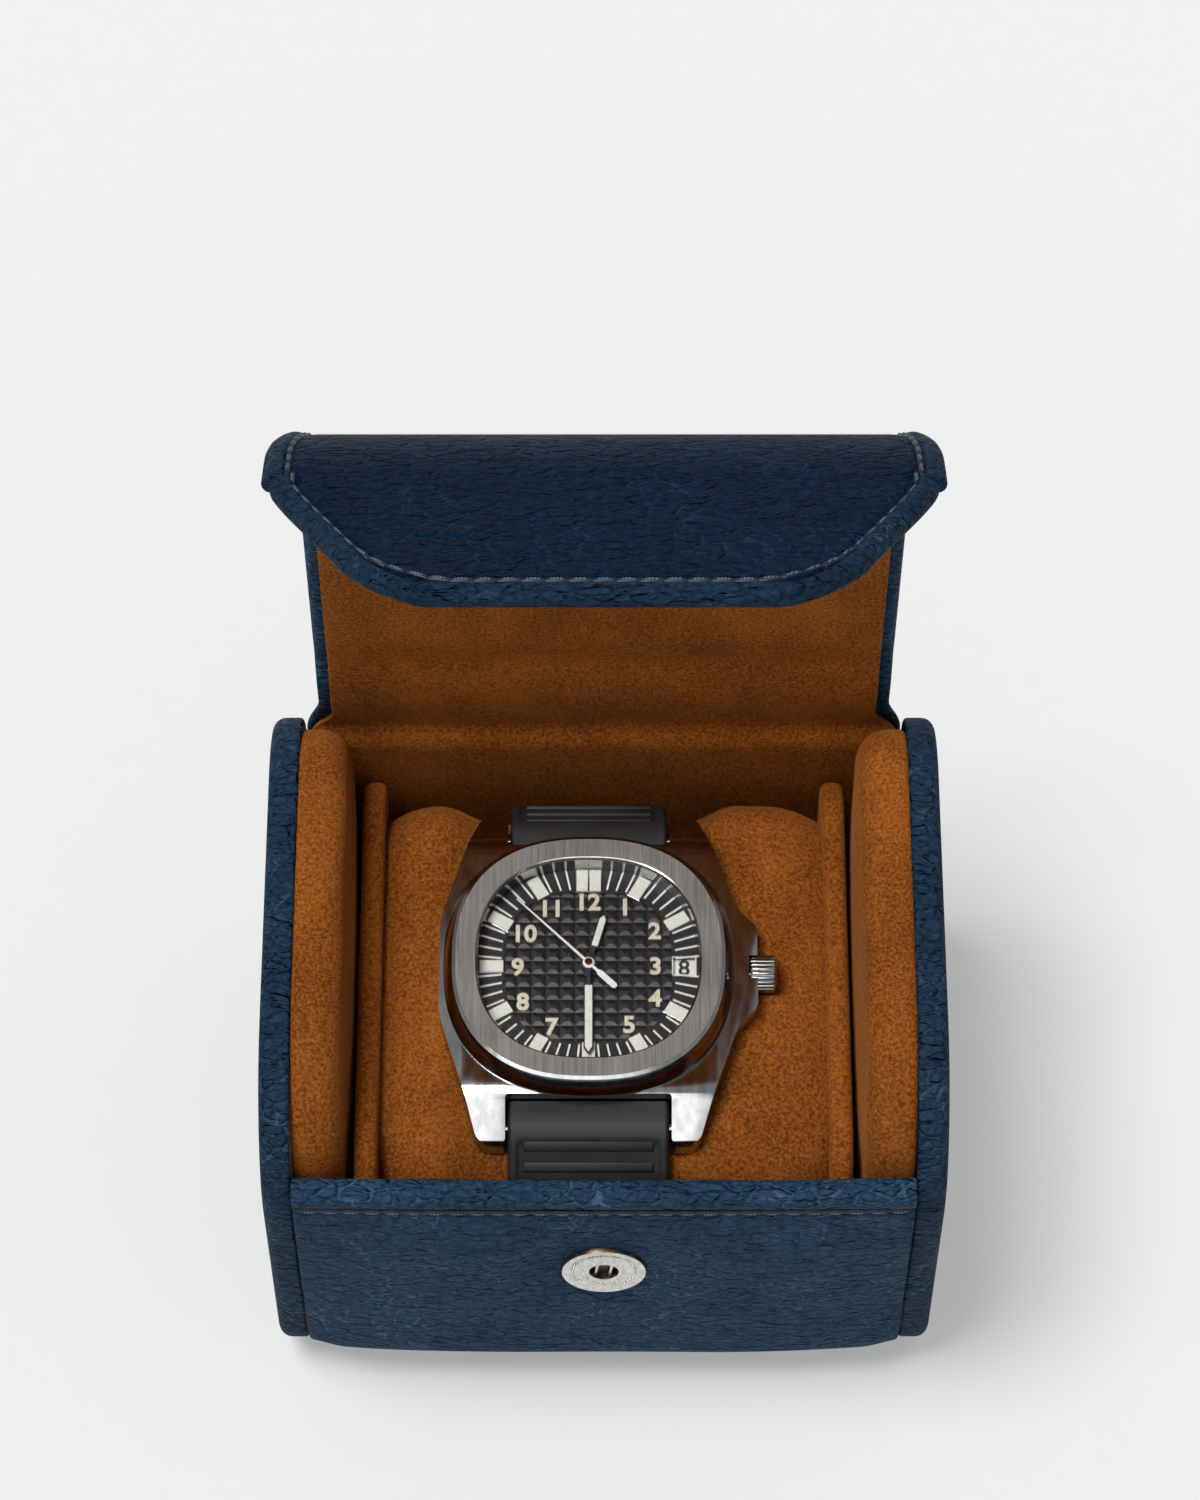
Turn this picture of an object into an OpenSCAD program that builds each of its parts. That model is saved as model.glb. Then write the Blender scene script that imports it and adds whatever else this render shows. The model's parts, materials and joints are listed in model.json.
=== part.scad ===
// Travel display box for one wristwatch: a leather case with a suede-covered cushion, shown open.
// Frame: X to the right, Z up, the front with the snap faces -Y, origin at the middle of the flat base.

/* [Case] */
// Overall width over both side boards
case_width = 88; // [84:0.5:96]
// Front-to-back size of a side board
board_depth = 69.5; // [66:0.5:74]
// Height of a side board
board_height = 67; // [65:0.5:72]
// Thickness of a leather-covered side board
side_thickness = 4; // [3:0.25:5]
// Corner radius of a side board at its front top
front_top_radius = 20; // [16:0.5:22]
// Corner radius of a side board at its rear top
rear_top_radius = 14; // [12:0.5:16]
// Corner radius of a side board at its bottom
bottom_radius = 12; // [10:0.5:16]
// Height at which the front wall meets its rolled edge
front_wall_height = 52; // [44:0.2:53]
// Width of a padded side, from its board to its inner face
pad_width = 7.3; // [6:0.1:9]

/* [Lid and flap] */
// Width of the lid panel
lid_width = 76; // [70:0.5:79]
// Width of the flap
flap_width = 80.4; // [78:0.2:84]
// Length of the flap's stiff part
flap_length = 26; // [24:0.5:28]
// Angle that the fold between lid and flap keeps when the box is left open
fold_rest = 64; // [45:1:75]
// Height of the snap above the base
snap_height = 35.6; // [31:0.2:38]

/* [Watch] */
// Width of the watch bezel
bezel_width = 36; // [34:0.5:37]
// Width of the strap
strap_width = 21; // [18:0.5:22]
// Height of the case back's lower face above the base
watch_height = 46.6; // [46.4:0.2:47.4]

/* [Hidden] */
arc_steps = 10;
$fn = 64;
tiny = 0.01;

// Layers of the walls, outside to inside
proud = 1;
leather = 1.2;
stiffener = 1.8;
suede = 0.8;
wall = leather + stiffener + suede;
lid_leather_t = 1;
lid_board_t = 0.8;
lid_suede_t = 0.6;
lid_t = lid_leather_t + lid_board_t + lid_suede_t;
turned_edge = 1.8;
roll_inset = 0.9;
roll_rise = 3.4;

// Places of the case
half_in = case_width / 2 - side_thickness;
shell_y = board_depth / 2 + proud;
shell_top = board_height + proud;
pad_inner = half_in - pad_width;
pad_y = shell_y - wall - 0.3;

// The closed lid lies 0.2 above the pads; the leather turns over the rear corner on its hinge strip
lid_under = board_height + 0.2;
lid_over = lid_under + lid_t;
hinge_radius = rear_top_radius + 2;
hinge_y = shell_y;
hinge_z = lid_over - hinge_radius;
hinge_length = PI * hinge_radius / 2;
lid_rear = hinge_y - hinge_radius;
hinge_pivot = [hinge_y, hinge_z] + bend_pivot(hinge_length, 0, 90);

// The closed flap hangs in front of the snap socket, round the fold
socket_out = 1.4;
flap_in = shell_y + socket_out + 0.3;
fold_y = front_top_radius - board_depth / 2;
fold_inner = flap_in + fold_y;
fold_outer = fold_inner + lid_t;
fold_mid = (fold_inner + fold_outer) / 2;
fold_z = lid_under - fold_inner;
fold_length = PI * fold_mid / 2;
fold_rest_radius = fold_length / (fold_rest * PI / 180);
fold_shift = bend_pivot(fold_length, fold_rest, 90);
flap_pivot = [fold_y - fold_shift.y, fold_z + fold_mid + fold_shift.x];

// Cushion
cushion_top = watch_height - 0.2;
cushion_low = 7.6;
cushion_half = pad_inner - 3.4;
cushion_radius = 6;
floor_top = wall;
// Inner face of the curved front wall at its top edge, which the cushion passes on its way out
front_round = front_top_radius + proud - wall;
front_rise = max(front_wall_height - (shell_top - front_top_radius - proud), 0);
front_near = shell_y - wall - front_round + sqrt(front_round * front_round - front_rise * front_rise);
end_room = 0.15;
end_depth = 2 * (front_near - end_room);
end_low = floor_top + 0.4;
end_top = 51.5;
swell_top = 3.4;
swell_y = 1.8;
swell_low = 1.5;

// Watch: its centre and its levels
watch_x = -2;
watch_y = -0.9;
back_z = watch_height;
case_low = back_z + 2;
dial_deep = 0.6;
case_high = back_z + 6.4;
dial_z = case_high - dial_deep;
bezel_top = back_z + 9.4;
glass_z = back_z + 8.4;
stem_z = back_z + 4.2;
skirt = 1.05;
skirt_rise = 0.6;
opening_half = 14.7;
track_inner = 11;
square_power = 2.4;
track_power = 2.8;
lug_bar_y = 21.3;
lug_bar_z = back_z + 1.7;
lug_y = 24;
lug_root = 18.4;
crown_half = 2.5;
crown_start = 21.3;
crown_end = 24.7;
crown_travel = 1.2;
bed_room = 0.35;
lug_tip_high = back_z + 3;
seconds_rest = 315;
seconds_reach = 13.4;
strap_t = 2.6;
strap_room = 0.28;
cushion_depth = 2 * (front_near + watch_y - strap_t - strap_room);
fit = 0.05;
pin = 0.5;

// Turns the point p by a degrees
function turned(p, a) = [p.x * cos(a) - p.y * sin(a), p.x * sin(a) + p.y * cos(a)];

// End of a strip of the length s, which stands up and is bent evenly forward by a degrees
function bend_end(s, a) = a == 0 ? [0, s] :
    let (r = s / (a * PI / 180)) [-r * (1 - cos(a)), r * sin(a)];

// Point about which that end turns while the bend goes from a1 to a2
function bend_pivot(s, a1, a2) =
    let (q = bend_end(s, a2) - turned(bend_end(s, a1), a2 - a1), c = 1 / tan((a2 - a1) / 2))
    [q.x - c * q.y, c * q.x + q.y] / 2;

// Arc that rounds the corner p1 between p0 and p2
function unit(v) = v / norm(v);
function corner(p0, p1, p2, r) = r <= 0 ? [p1] :
    let (
        a = unit(p0 - p1), b = unit(p2 - p1), half = acos(a * b) / 2,
        c = p1 + unit(a + b) * r / sin(half),
        s = p1 + a * r / tan(half) - c, e = p1 + b * r / tan(half) - c,
        a0 = atan2(s.y, s.x), turn = (atan2(e.y, e.x) - a0 + 540) % 360 - 180
    )
    [for (i = [0:arc_steps]) c + r * [cos(a0 + turn * i / arc_steps), sin(a0 + turn * i / arc_steps)]];
function rounded(points, radii) = let (n = len(points))
    [for (i = [0:n - 1]) each corner(points[(i + n - 1) % n], points[i], points[(i + 1) % n], radii[i])];

// Rounded outline in Y and Z; radii: front bottom, rear bottom, rear top, front top
function side_outline(y0, y1, z0, z1, radii) = rounded([[y0, z0], [y1, z0], [y1, z1], [y0, z1]], radii);
function board_outline(inset) = side_outline(
    inset - board_depth / 2, board_depth / 2 - inset, inset, board_height - inset,
    [bottom_radius - inset, bottom_radius - inset, rear_top_radius - inset, front_top_radius - inset]);
function shell_outline(inset) = side_outline(
    inset - shell_y, shell_y - inset, inset, shell_top - inset,
    [bottom_radius - inset, bottom_radius - inset, rear_top_radius + proud - inset,
     front_top_radius + proud - inset]);
function pad_outline(inset) = side_outline(
    inset - pad_y, pad_y - inset, floor_top + 0.1 + inset, board_height - inset,
    [8.4, 8.4, 11 - inset, 18 - inset]);

// Square with full sides, as the bezel has it
function reach(half, a, power = square_power) =
    half / pow(pow(abs(cos(a)), power) + pow(abs(sin(a)), power), 1 / power);
function full_square(half, power = square_power) =
    [for (a = [0:5:355]) reach(half, a, power) * [cos(a), sin(a)]];

// Closed solid through rings of equally many points, which follow each other along X
function at_x(points, x) = [for (p = points) [x, p.x, p.y]];
module ringed(rings) {
    n = len(rings[0]);
    last = len(rings) - 1;
    sides = [for (i = [0:last - 1]) for (j = [0:n - 1])
        let (k = (j + 1) % n) each [
            [i * n + j, (i + 1) * n + j, (i + 1) * n + k], [i * n + j, (i + 1) * n + k, i * n + k]
        ]];
    ends = [[for (j = [0:n - 1]) j], [for (j = [n - 1:-1:0]) last * n + j]];
    polyhedron([for (ring = rings) each ring], concat(sides, ends));
}

// Extrusions along X, Y and Z
module along_x(points, x0, x1) {
    translate([x0, 0, 0]) rotate([90, 0, 90]) linear_extrude(x1 - x0) polygon(points);
}
module along_y(points, y0, y1) {
    translate([0, y1, 0]) rotate([90, 0, 0]) linear_extrude(y1 - y0) polygon(points);
}
module along_z(points, z0, z1) {
    translate([0, 0, z0]) linear_extrude(z1 - z0) polygon(points);
}
module block(x0, x1, y0, y1, z0, z1) {
    translate([x0, y0, z0]) cube([x1 - x0, y1 - y0, z1 - z0]);
}
module rod_y(r, y0, y1) {
    translate([0, y1, 0]) rotate([90, 0, 0]) cylinder(r = r, h = y1 - y0);
}
module rod_x(r, x0, x1) {
    translate([x0, 0, 0]) rotate([0, 90, 0]) cylinder(r = r, h = x1 - x0);
}

// Places children that are drawn in the closed pose where they stand with the lid open
module on_lid() {
    translate([0, hinge_pivot.x, hinge_pivot.y]) rotate([-90, 0, 0])
        translate([0, -hinge_pivot.x, -hinge_pivot.y]) children();
}
module on_flap() {
    on_lid() translate([0, flap_pivot.x, flap_pivot.y]) rotate([fold_rest - 90, 0, 0])
        translate([0, -flap_pivot.x, -flap_pivot.y]) children();
}
module on_watch() {
    translate([watch_x, watch_y, 0]) children();
}

// Side boards, leather over them, pads
module side_board() {
    color("tan") along_x(board_outline(1), half_in, half_in + side_thickness - 1);
}
module side_leather() {
    color("midnightblue") difference() {
        along_x(board_outline(0), half_in, half_in + side_thickness);
        along_x(board_outline(1), half_in - 1, half_in + side_thickness - 1);
    }
}
// Crown of a pad: how far its outline draws in at each distance from the pad's inner face
pad_crown = [[0, 3.4], [0.5, 1.9], [1.3, 0.8], [2.6, 0.2], [4, 0]];
module pad_form(cover, back) {
    ringed(concat(
        [for (step = pad_crown) at_x(pad_outline(step.y + cover), pad_inner + step.x + cover)],
        [at_x(pad_outline(cover), back)]
    ));
}
module pad_foam() { color("khaki") pad_form(suede, half_in); }
module pad_suede() {
    color("saddlebrown") difference() {
        pad_form(0, half_in);
        pad_form(suede, half_in + 1);
    }
}
module left_side_board() { mirror([1, 0, 0]) side_board(); }
module right_side_board() { side_board(); }
module left_side_leather() { mirror([1, 0, 0]) side_leather(); }
module right_side_leather() { side_leather(); }
module left_pad_foam() { mirror([1, 0, 0]) pad_foam(); }
module right_pad_foam() { pad_foam(); }
module left_pad_suede() { mirror([1, 0, 0]) pad_suede(); }
module right_pad_suede() { pad_suede(); }

// One layer of the front, base and back, between two insets of the shell's outline
module shell_layer(outer, inner) {
    difference() {
        along_x(shell_outline(outer), -half_in, half_in);
        along_x(shell_outline(inner), -half_in - 1, half_in + 1);
        block(-half_in - 1, half_in + 1, -shell_y - 1, 0, front_wall_height, shell_top + 1);
        block(-half_in - 1, half_in + 1, -1, shell_y + 1, hinge_z, shell_top + 1);
    }
}
module shell_leather() {
    color("midnightblue") difference() {
        shell_layer(0, leather);
        translate([0, 0, snap_height]) rod_y(3.35, -shell_y - 1, -shell_y + leather + 1);
    }
}
module board_part(y0, y1) {
    intersection() {
        shell_layer(leather, leather + stiffener);
        block(-half_in, half_in, y0, y1, 0, shell_top);
    }
}
module front_board() {
    color("tan") difference() {
        board_part(-shell_y, 0.2 - shell_y + bottom_radius);
        block(-half_in - 1, half_in + 1, -shell_y, 0, 0, bottom_radius - 0.2);
        translate([0, 0, snap_height]) rod_y(5.1, -shell_y, -shell_y + wall);
    }
}
module base_board() {
    color("tan") intersection() {
        board_part(-shell_y, shell_y);
        block(-half_in, half_in, -shell_y, shell_y, 0, bottom_radius - 0.2);
    }
}
module back_board() {
    color("tan") difference() {
        board_part(shell_y - bottom_radius, shell_y);
        block(-half_in - 1, half_in + 1, 0, shell_y, 0, bottom_radius - 0.2);
    }
}
module shell_lining() { color("saddlebrown") shell_layer(leather + stiffener, wall); }
module front_binding() {
    color("midnightblue") along_x(side_outline(
        roll_inset - shell_y, wall - shell_y, front_wall_height, front_wall_height + roll_rise,
        [0.3, 0.3, 1.4, 1.4]), -half_in, half_in);
}

// Snap on the front wall: a socket with a hole for the stud, its wire spring and the eyelet behind it
module snap_socket() {
    color("silver") translate([0, -shell_y, snap_height]) difference() {
        union() {
            rotate([90, 0, 0]) rotate_extrude()
                polygon(rounded([[0, 0], [5.6, 0], [5.6, socket_out], [0, socket_out]], [0, 0.3, 0.6, 0]));
            rod_y(3.3, -tiny, leather);
        }
        rod_y(2.5, -socket_out - 1, leather - 0.2);
        rod_y(3.1, -0.7, 0.5);
    }
}
module snap_spring() {
    color("silver") translate([0, -shell_y - 0.1, snap_height]) {
        rotate([90, 0, 0]) rotate_extrude() translate([2.8, 0]) circle(r = 0.22);
        for (side = [-1, 1])
            translate([side * 2.1, 0, -1.75]) cylinder(r = 0.2, h = 3.5);
    }
}
module socket_eyelet() {
    color("silver") translate([0, 0, snap_height]) rod_y(5, leather - shell_y, leather + 0.8 - shell_y);
}

// Hinge strips, straight up behind the box while the lid is open
module hinge_leather() {
    color("midnightblue") block(-lid_width / 2, lid_width / 2, hinge_y - leather, hinge_y,
        hinge_z, hinge_z + hinge_length);
}
module hinge_lining() {
    color("saddlebrown") block(turned_edge - lid_width / 2, lid_width / 2 - turned_edge,
        hinge_y - leather - suede, hinge_y - leather, hinge_z, hinge_z + hinge_length);
}

// Lid panel, drawn closed
module lid_leather() {
    color("midnightblue") on_lid() difference() {
        block(-lid_width / 2, lid_width / 2, fold_y, lid_rear, lid_under, lid_over);
        block(turned_edge - lid_width / 2, lid_width / 2 - turned_edge, fold_y - 1, lid_rear + 1,
            lid_under - 1, lid_over - lid_leather_t);
    }
}
module lid_board() {
    color("tan") on_lid() block(turned_edge - lid_width / 2, lid_width / 2 - turned_edge, fold_y, lid_rear,
        lid_under + lid_suede_t, lid_over - lid_leather_t);
}
module lid_lining() {
    color("saddlebrown") on_lid() block(turned_edge - lid_width / 2, lid_width / 2 - turned_edge,
        fold_y, lid_rear, lid_under, lid_under + lid_suede_t);
}

// Fold between lid and flap, bent by fold_rest
module fold_strip(half, inner, outer) {
    on_lid() translate([-half, fold_y, lid_under + lid_t / 2 - fold_rest_radius]) rotate([90, 0, 90])
        rotate([0, 0, 90]) rotate_extrude(angle = fold_rest)
            translate([fold_rest_radius + inner, 0]) square([outer - inner, 2 * half]);
}
module fold_leather() {
    color("midnightblue") fold_strip(flap_width / 2 - 1, lid_t / 2 - lid_leather_t, lid_t / 2);
}
module fold_lining() {
    color("saddlebrown") fold_strip(lid_width / 2 - turned_edge, -lid_t / 2, lid_t / 2 - lid_leather_t);
}

// Flap, drawn closed: its outline in X and Z, drawn in by an inset
function flap_outline(inset) = let (half = flap_width / 2 - inset, low = fold_z - flap_length + inset)
    rounded([
        [half, fold_z], [-half, fold_z], [-half, fold_z - 3 - inset / 3],
        [-half + 15.4, low], [half - 15.4, low], [half, fold_z - 3 - inset / 3]
    ], [0, 0, 5, 9, 9, 5]);
module flap_leather() {
    color("midnightblue") on_flap() difference() {
        along_y(flap_outline(0), -flap_in - lid_t, -flap_in);
        along_y(flap_outline(turned_edge), lid_leather_t - flap_in - lid_t, 1 - flap_in);
        block(turned_edge - flap_width / 2, flap_width / 2 - turned_edge,
            lid_leather_t - flap_in - lid_t, 1 - flap_in, fold_z - 1, fold_z + 1);
    }
}
module flap_board() {
    color("tan") on_flap() difference() {
        along_y(flap_outline(turned_edge), lid_leather_t - flap_in - lid_t, -flap_in - lid_suede_t);
        translate([0, 0, snap_height]) rod_y(4, -flap_in - lid_t, -flap_in);
    }
}
module flap_lining() {
    color("saddlebrown") on_flap() difference() {
        along_y(flap_outline(turned_edge), -flap_in - lid_suede_t, -flap_in);
        translate([0, 0, snap_height]) rod_y(5, -flap_in - lid_t, 1 - flap_in);
    }
}
module snap_stud() {
    color("silver") on_flap() translate([0, -flap_in, snap_height]) difference() {
        union() {
            rod_y(5, -lid_suede_t, 0);
            rod_y(1.75, -tiny, 1.8);
        }
        rod_y(1.02, -1, 1.1);
    }
}
module stud_rivet() {
    color("silver") on_flap() translate([0, -flap_in, snap_height]) {
        rod_y(4, -lid_suede_t - lid_board_t, -lid_suede_t);
        rod_y(1, -lid_suede_t - tiny, 1);
    }
}

// Cushion: sections along X that are pressed in under the watch, full beside it and drawn in at the ends
function eased(t) = let (u = min(max(t, 0), 1)) u * u * (3 - 2 * u);
function swell(x) = eased((abs(x - watch_x) - 12) / 8);
function drawn(x) = 1.8 * pow(max(abs(x) - 22, 0) / (cushion_half - 22), 2);
function cushion_section(x, inset) =
    let (s = swell(x), d = drawn(x) + inset, y = cushion_depth / 2 + swell_y * s - d)
    side_outline(watch_y - y, watch_y + y, cushion_low - swell_low * s + d, cushion_top + swell_top * s - d,
        [for (i = [0:3]) cushion_radius - inset]);
cushion_xs = [for (i = [-8:8]) cushion_half * sin(90 * i / 8)];
module cushion_form(inset, longer) {
    ringed([for (x = cushion_xs) at_x(cushion_section(x, inset), x * (1 + longer / cushion_half))]);
}
// Bed that the crown presses into the cushion, over its whole travel
module crown_bed(deeper) {
    on_watch() translate([0, 0, stem_z]) rod_x(crown_half + bed_room + deeper,
        crown_start - 1 - deeper, crown_end + crown_travel + bed_room + deeper);
}
// Beds in the foam under the watch's back, flanks and lugs and under the strap's two ends
back_bed = 15.5;
flank_bed = 20;
lug_bed = 18.2;
foam_bed = cushion_top - suede + tiny;
module end_bed(half, y0, y1, z0) {
    block(-half, half, y0, y1, z0, 60);
    block(-half, half, -y1, -y0, z0, 60);
}
module watch_bed() {
    on_watch() {
        block(-back_bed, back_bed, -lug_y - 1, lug_y + 1, foam_bed, 60);
        block(-flank_bed, crown_start + 1.3, -back_bed, back_bed, case_low - bed_room, 60);
        end_bed(lug_bed, 13, lug_y + 1, foam_bed);
        end_bed(strap_width / 2 + bed_room, lug_bar_y - 1.9, lug_bar_y + 4, lug_bar_z - 4 - bed_room);
    }
}
module cushion_core(longer) {
    difference() {
        cushion_form(suede, longer);
        crown_bed(suede);
        watch_bed();
    }
}
module cushion_foam() { color("khaki") cushion_core(0); }
module cushion_cover() {
    color("saddlebrown") difference() {
        cushion_form(0, 0);
        crown_bed(0);
        cushion_core(1);
    }
}
module right_cushion_end() {
    color("saddlebrown") ringed([for (step = [[0, 0.9], [0.8, 0], [2.2, 0], [3, 0.9]])
        at_x(side_outline(step.y - end_depth / 2, end_depth / 2 - step.y,
            end_low + step.y, end_top - step.y, [8, 8, 8, 8]), cushion_half + step.x)]);
}
module left_cushion_end() { mirror([1, 0, 0]) right_cushion_end(); }

// Watch case: plan with four lugs and a shoulder beside the crown, cut to a side profile
lug_in = strap_width / 2 + 0.3;
case_plan = rounded([
    [-lug_in, -lug_y], [-14.4, -lug_y], [-19.6, -7], [-19.6, 7], [-14.4, lug_y], [-lug_in, lug_y],
    [-lug_in, lug_root], [lug_in, lug_root], [lug_in, lug_y], [14.4, lug_y], [19.6, 8.5], [22.2, 6],
    [22.2, -6], [19.6, -8.5], [14.4, -lug_y], [lug_in, -lug_y], [lug_in, -lug_root], [-lug_in, -lug_root]
], [0.6, 1.6, 14, 14, 1.6, 0.6, 0.5, 0.5, 0.6, 1.6, 5, 2.5, 2.5, 5, 1.6, 0.6, 0.5, 0.5]);
case_side = rounded([
    [-lug_y - 0.2, back_z - 0.6], [-15, case_low], [15, case_low], [lug_y + 0.2, back_z - 0.6],
    [lug_y + 0.2, lug_tip_high], [lug_root, case_high], [-lug_root, case_high], [-lug_y - 0.2, lug_tip_high]
], [0.6, 4, 4, 0.6, 1, 6, 6, 1]);
module watch_case() {
    color("gray") on_watch() difference() {
        intersection() {
            along_z(case_plan, back_z - 1, case_high);
            along_x(case_side, -23, 23);
        }
        translate([0, 0, back_z - 2]) cylinder(r = 15.1, h = dial_z - back_z + 2);
        along_z(full_square(15.3), dial_z - tiny, case_high + 1);
        translate([0, 0, stem_z]) rod_x(pin + fit, 10, 23);
        translate([0, 0, stem_z]) rod_x(crown_half + 0.25, crown_start - 0.2, 23);
        for (side = [-1, 1])
            translate([0, side * lug_bar_y, lug_bar_z]) rod_x(0.75, -lug_in - 1.2, lug_in + 1.2);
    }
}
module case_back() {
    color("silver") on_watch() translate([0, 0, back_z]) cylinder(r = 15.1, h = 2);
}
module movement() {
    color("gold") on_watch() difference() {
        translate([0, 0, back_z + 2]) cylinder(r = 14.6, h = dial_z - back_z - 2.9);
        translate([0, 0, stem_z]) rod_x(pin + fit, 7, 20);
    }
}
module date_wheel() {
    color("white") on_watch() translate([0, 0, dial_z - 0.7]) difference() {
        cylinder(r = 14.9, h = 0.5);
        translate([0, 0, -1]) cylinder(r = 9.6, h = 3);
    }
}
module dial() {
    color("black") on_watch() difference() {
        along_z(full_square(15.3), dial_z, dial_z + 0.4);
        translate([0, 0, dial_z - 1]) cylinder(r = 0.9, h = 3);
        block(11.1, 14, -1.3, 1.3, dial_z - 1, dial_z + 2);
    }
}
module chapter_ring() {
    color("black") on_watch() difference() {
        along_z(full_square(15.3), dial_z + 0.4, dial_z + 0.6);
        along_z(full_square(track_inner, track_power), dial_z, dial_z + 1);
        block(11.1, 14, -1.3, 1.3, dial_z, dial_z + 2);
    }
}
// Blocks at the hours, but not at the date window
module hour_markers() {
    color("beige") on_watch() for (hour = [1, 2, 4, 5, 6, 7, 8, 9, 10, 11, 12]) {
        a = 90 - 30 * hour;
        end = reach(14.2, a);
        wide = hour == 12 ? 3.2 : 1.9;
        rotate([0, 0, a]) block(end - 2.8, end, -wide / 2, wide / 2, dial_z + 0.6, dial_z + 0.8);
    }
}
module centre_arbor() {
    color("silver") on_watch() translate([0, 0, dial_z - 0.9]) cylinder(r = pin, h = 3);
}
module bezel() {
    color("gray") on_watch() difference() {
        hull() {
            along_z(full_square(bezel_width / 2 + skirt), case_high, case_high + skirt_rise);
            along_z(full_square(bezel_width / 2), case_high, bezel_top);
        }
        along_z(full_square(opening_half), case_high - 1, bezel_top + 1);
        along_z(full_square(opening_half + 0.5), glass_z, bezel_top + 1);
    }
}
module crystal() {
    color("lightcyan") on_watch() along_z(full_square(opening_half + 0.5), glass_z, bezel_top + 0.1);
}

// Hands turn on the centre arbor; a hand's direction is an angle from twelve o'clock
module hand(level, thick, direction, length, tail, wide) {
    on_watch() translate([0, 0, level]) rotate([0, 0, -direction]) difference() {
        union() {
            cylinder(r = 1.1, h = thick);
            linear_extrude(thick) polygon([
                [-wide / 2, -tail], [wide / 2, -tail], [wide / 2, length - wide], [0, length],
                [-wide / 2, length - wide]
            ]);
        }
        translate([0, 0, -1]) cylinder(r = pin + fit, h = thick + 2);
    }
}
module hour_hand() { color("ivory") hand(dial_z + 0.95, 0.2, 15.5, 8, 1.6, 1.3); }
module minute_hand() { color("ivory") hand(dial_z + 1.3, 0.2, 180, 13, 1.6, 1.3); }
module seconds_hand() { color("white") hand(dial_z + 1.65, 0.15, seconds_rest, seconds_reach, 5, 0.4); }
module winding_stem() {
    color("silver") on_watch() translate([0, 0, stem_z]) rod_x(pin, 9, 23.4);
}
module crown() {
    color("silver") on_watch() translate([0, 0, stem_z]) difference() {
        rod_x(crown_half, crown_start, crown_end);
        rod_x(pin + fit, crown_start - 0.3, 23.5);
    }
}

// Spring bars between the lugs
module spring_bar(side) {
    color("silver") on_watch() translate([0, side * lug_bar_y, lug_bar_z])
        rod_x(0.7, -lug_in - 1.1, lug_in + 1.1);
}
module rear_spring_bar() { spring_bar(1); }
module front_spring_bar() { spring_bar(-1); }

// Strap: a band round the cushion, open under the watch, in two halves that meet in the clasp
function strap_outline(out) = side_outline(
    -cushion_depth / 2 - 0.1 - out, cushion_depth / 2 + 0.1 + out, cushion_low - 0.1 - out, cushion_top + out,
    [for (i = [0:3]) cushion_radius + out]);
module strap_half(side) {
    half = strap_width / 2;
    color("dimgray") on_watch() difference() {
        union() {
            difference() {
                along_x(strap_outline(strap_t), -half, half);
                along_x(strap_outline(0), -half - 1, half + 1);
                block(-half - 1, half + 1, min(-side * 40, side * 0.1), max(-side * 40, side * 0.1), 0, 60);
                block(-half - 1, half + 1, -lug_bar_y - 1, lug_bar_y + 1, 30, 60);
            }
            translate([0, side * lug_bar_y, lug_bar_z]) rod_x(2.2, -half, half);
            along_x([for (p = [[-0.4, 2.15], [2.2, 1.6], [3.6, -2.4], [1, -4], [-1.4, -1.7]])
                [side * (lug_bar_y + p.x), lug_bar_z + p.y]], -half, half);
        }
        translate([0, side * lug_bar_y, lug_bar_z]) rod_x(0.75, -half - 1, half + 1);
    }
}
module strap_rear() { strap_half(1); }
module strap_front() { strap_half(-1); }
module strap_clasp() {
    half = strap_width / 2;
    low = cushion_low - strap_t - 0.1;
    color("silver") on_watch() difference() {
        block(-half - 1, half + 1, -12, 12, low - 0.6, low + 2);
        block(-half - 0.1, half + 0.1, -13, 13, low, low + 3);
    }
}

left_side_board();
right_side_board();
left_side_leather();
right_side_leather();
left_pad_foam();
right_pad_foam();
left_pad_suede();
right_pad_suede();
shell_leather();
front_board();
base_board();
back_board();
shell_lining();
front_binding();
snap_socket();
snap_spring();
socket_eyelet();
hinge_leather();
hinge_lining();
lid_leather();
lid_board();
lid_lining();
fold_leather();
fold_lining();
flap_leather();
flap_board();
flap_lining();
snap_stud();
stud_rivet();
cushion_cover();
cushion_foam();
left_cushion_end();
right_cushion_end();
watch_case();
case_back();
movement();
bezel();
crystal();
dial();
chapter_ring();
hour_markers();
date_wheel();
centre_arbor();
hour_hand();
minute_hand();
seconds_hand();
winding_stem();
crown();
rear_spring_bar();
front_spring_bar();
strap_rear();
strap_front();
strap_clasp();
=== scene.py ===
import bpy
import json
import math
from mathutils import Vector, Matrix, noise


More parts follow.
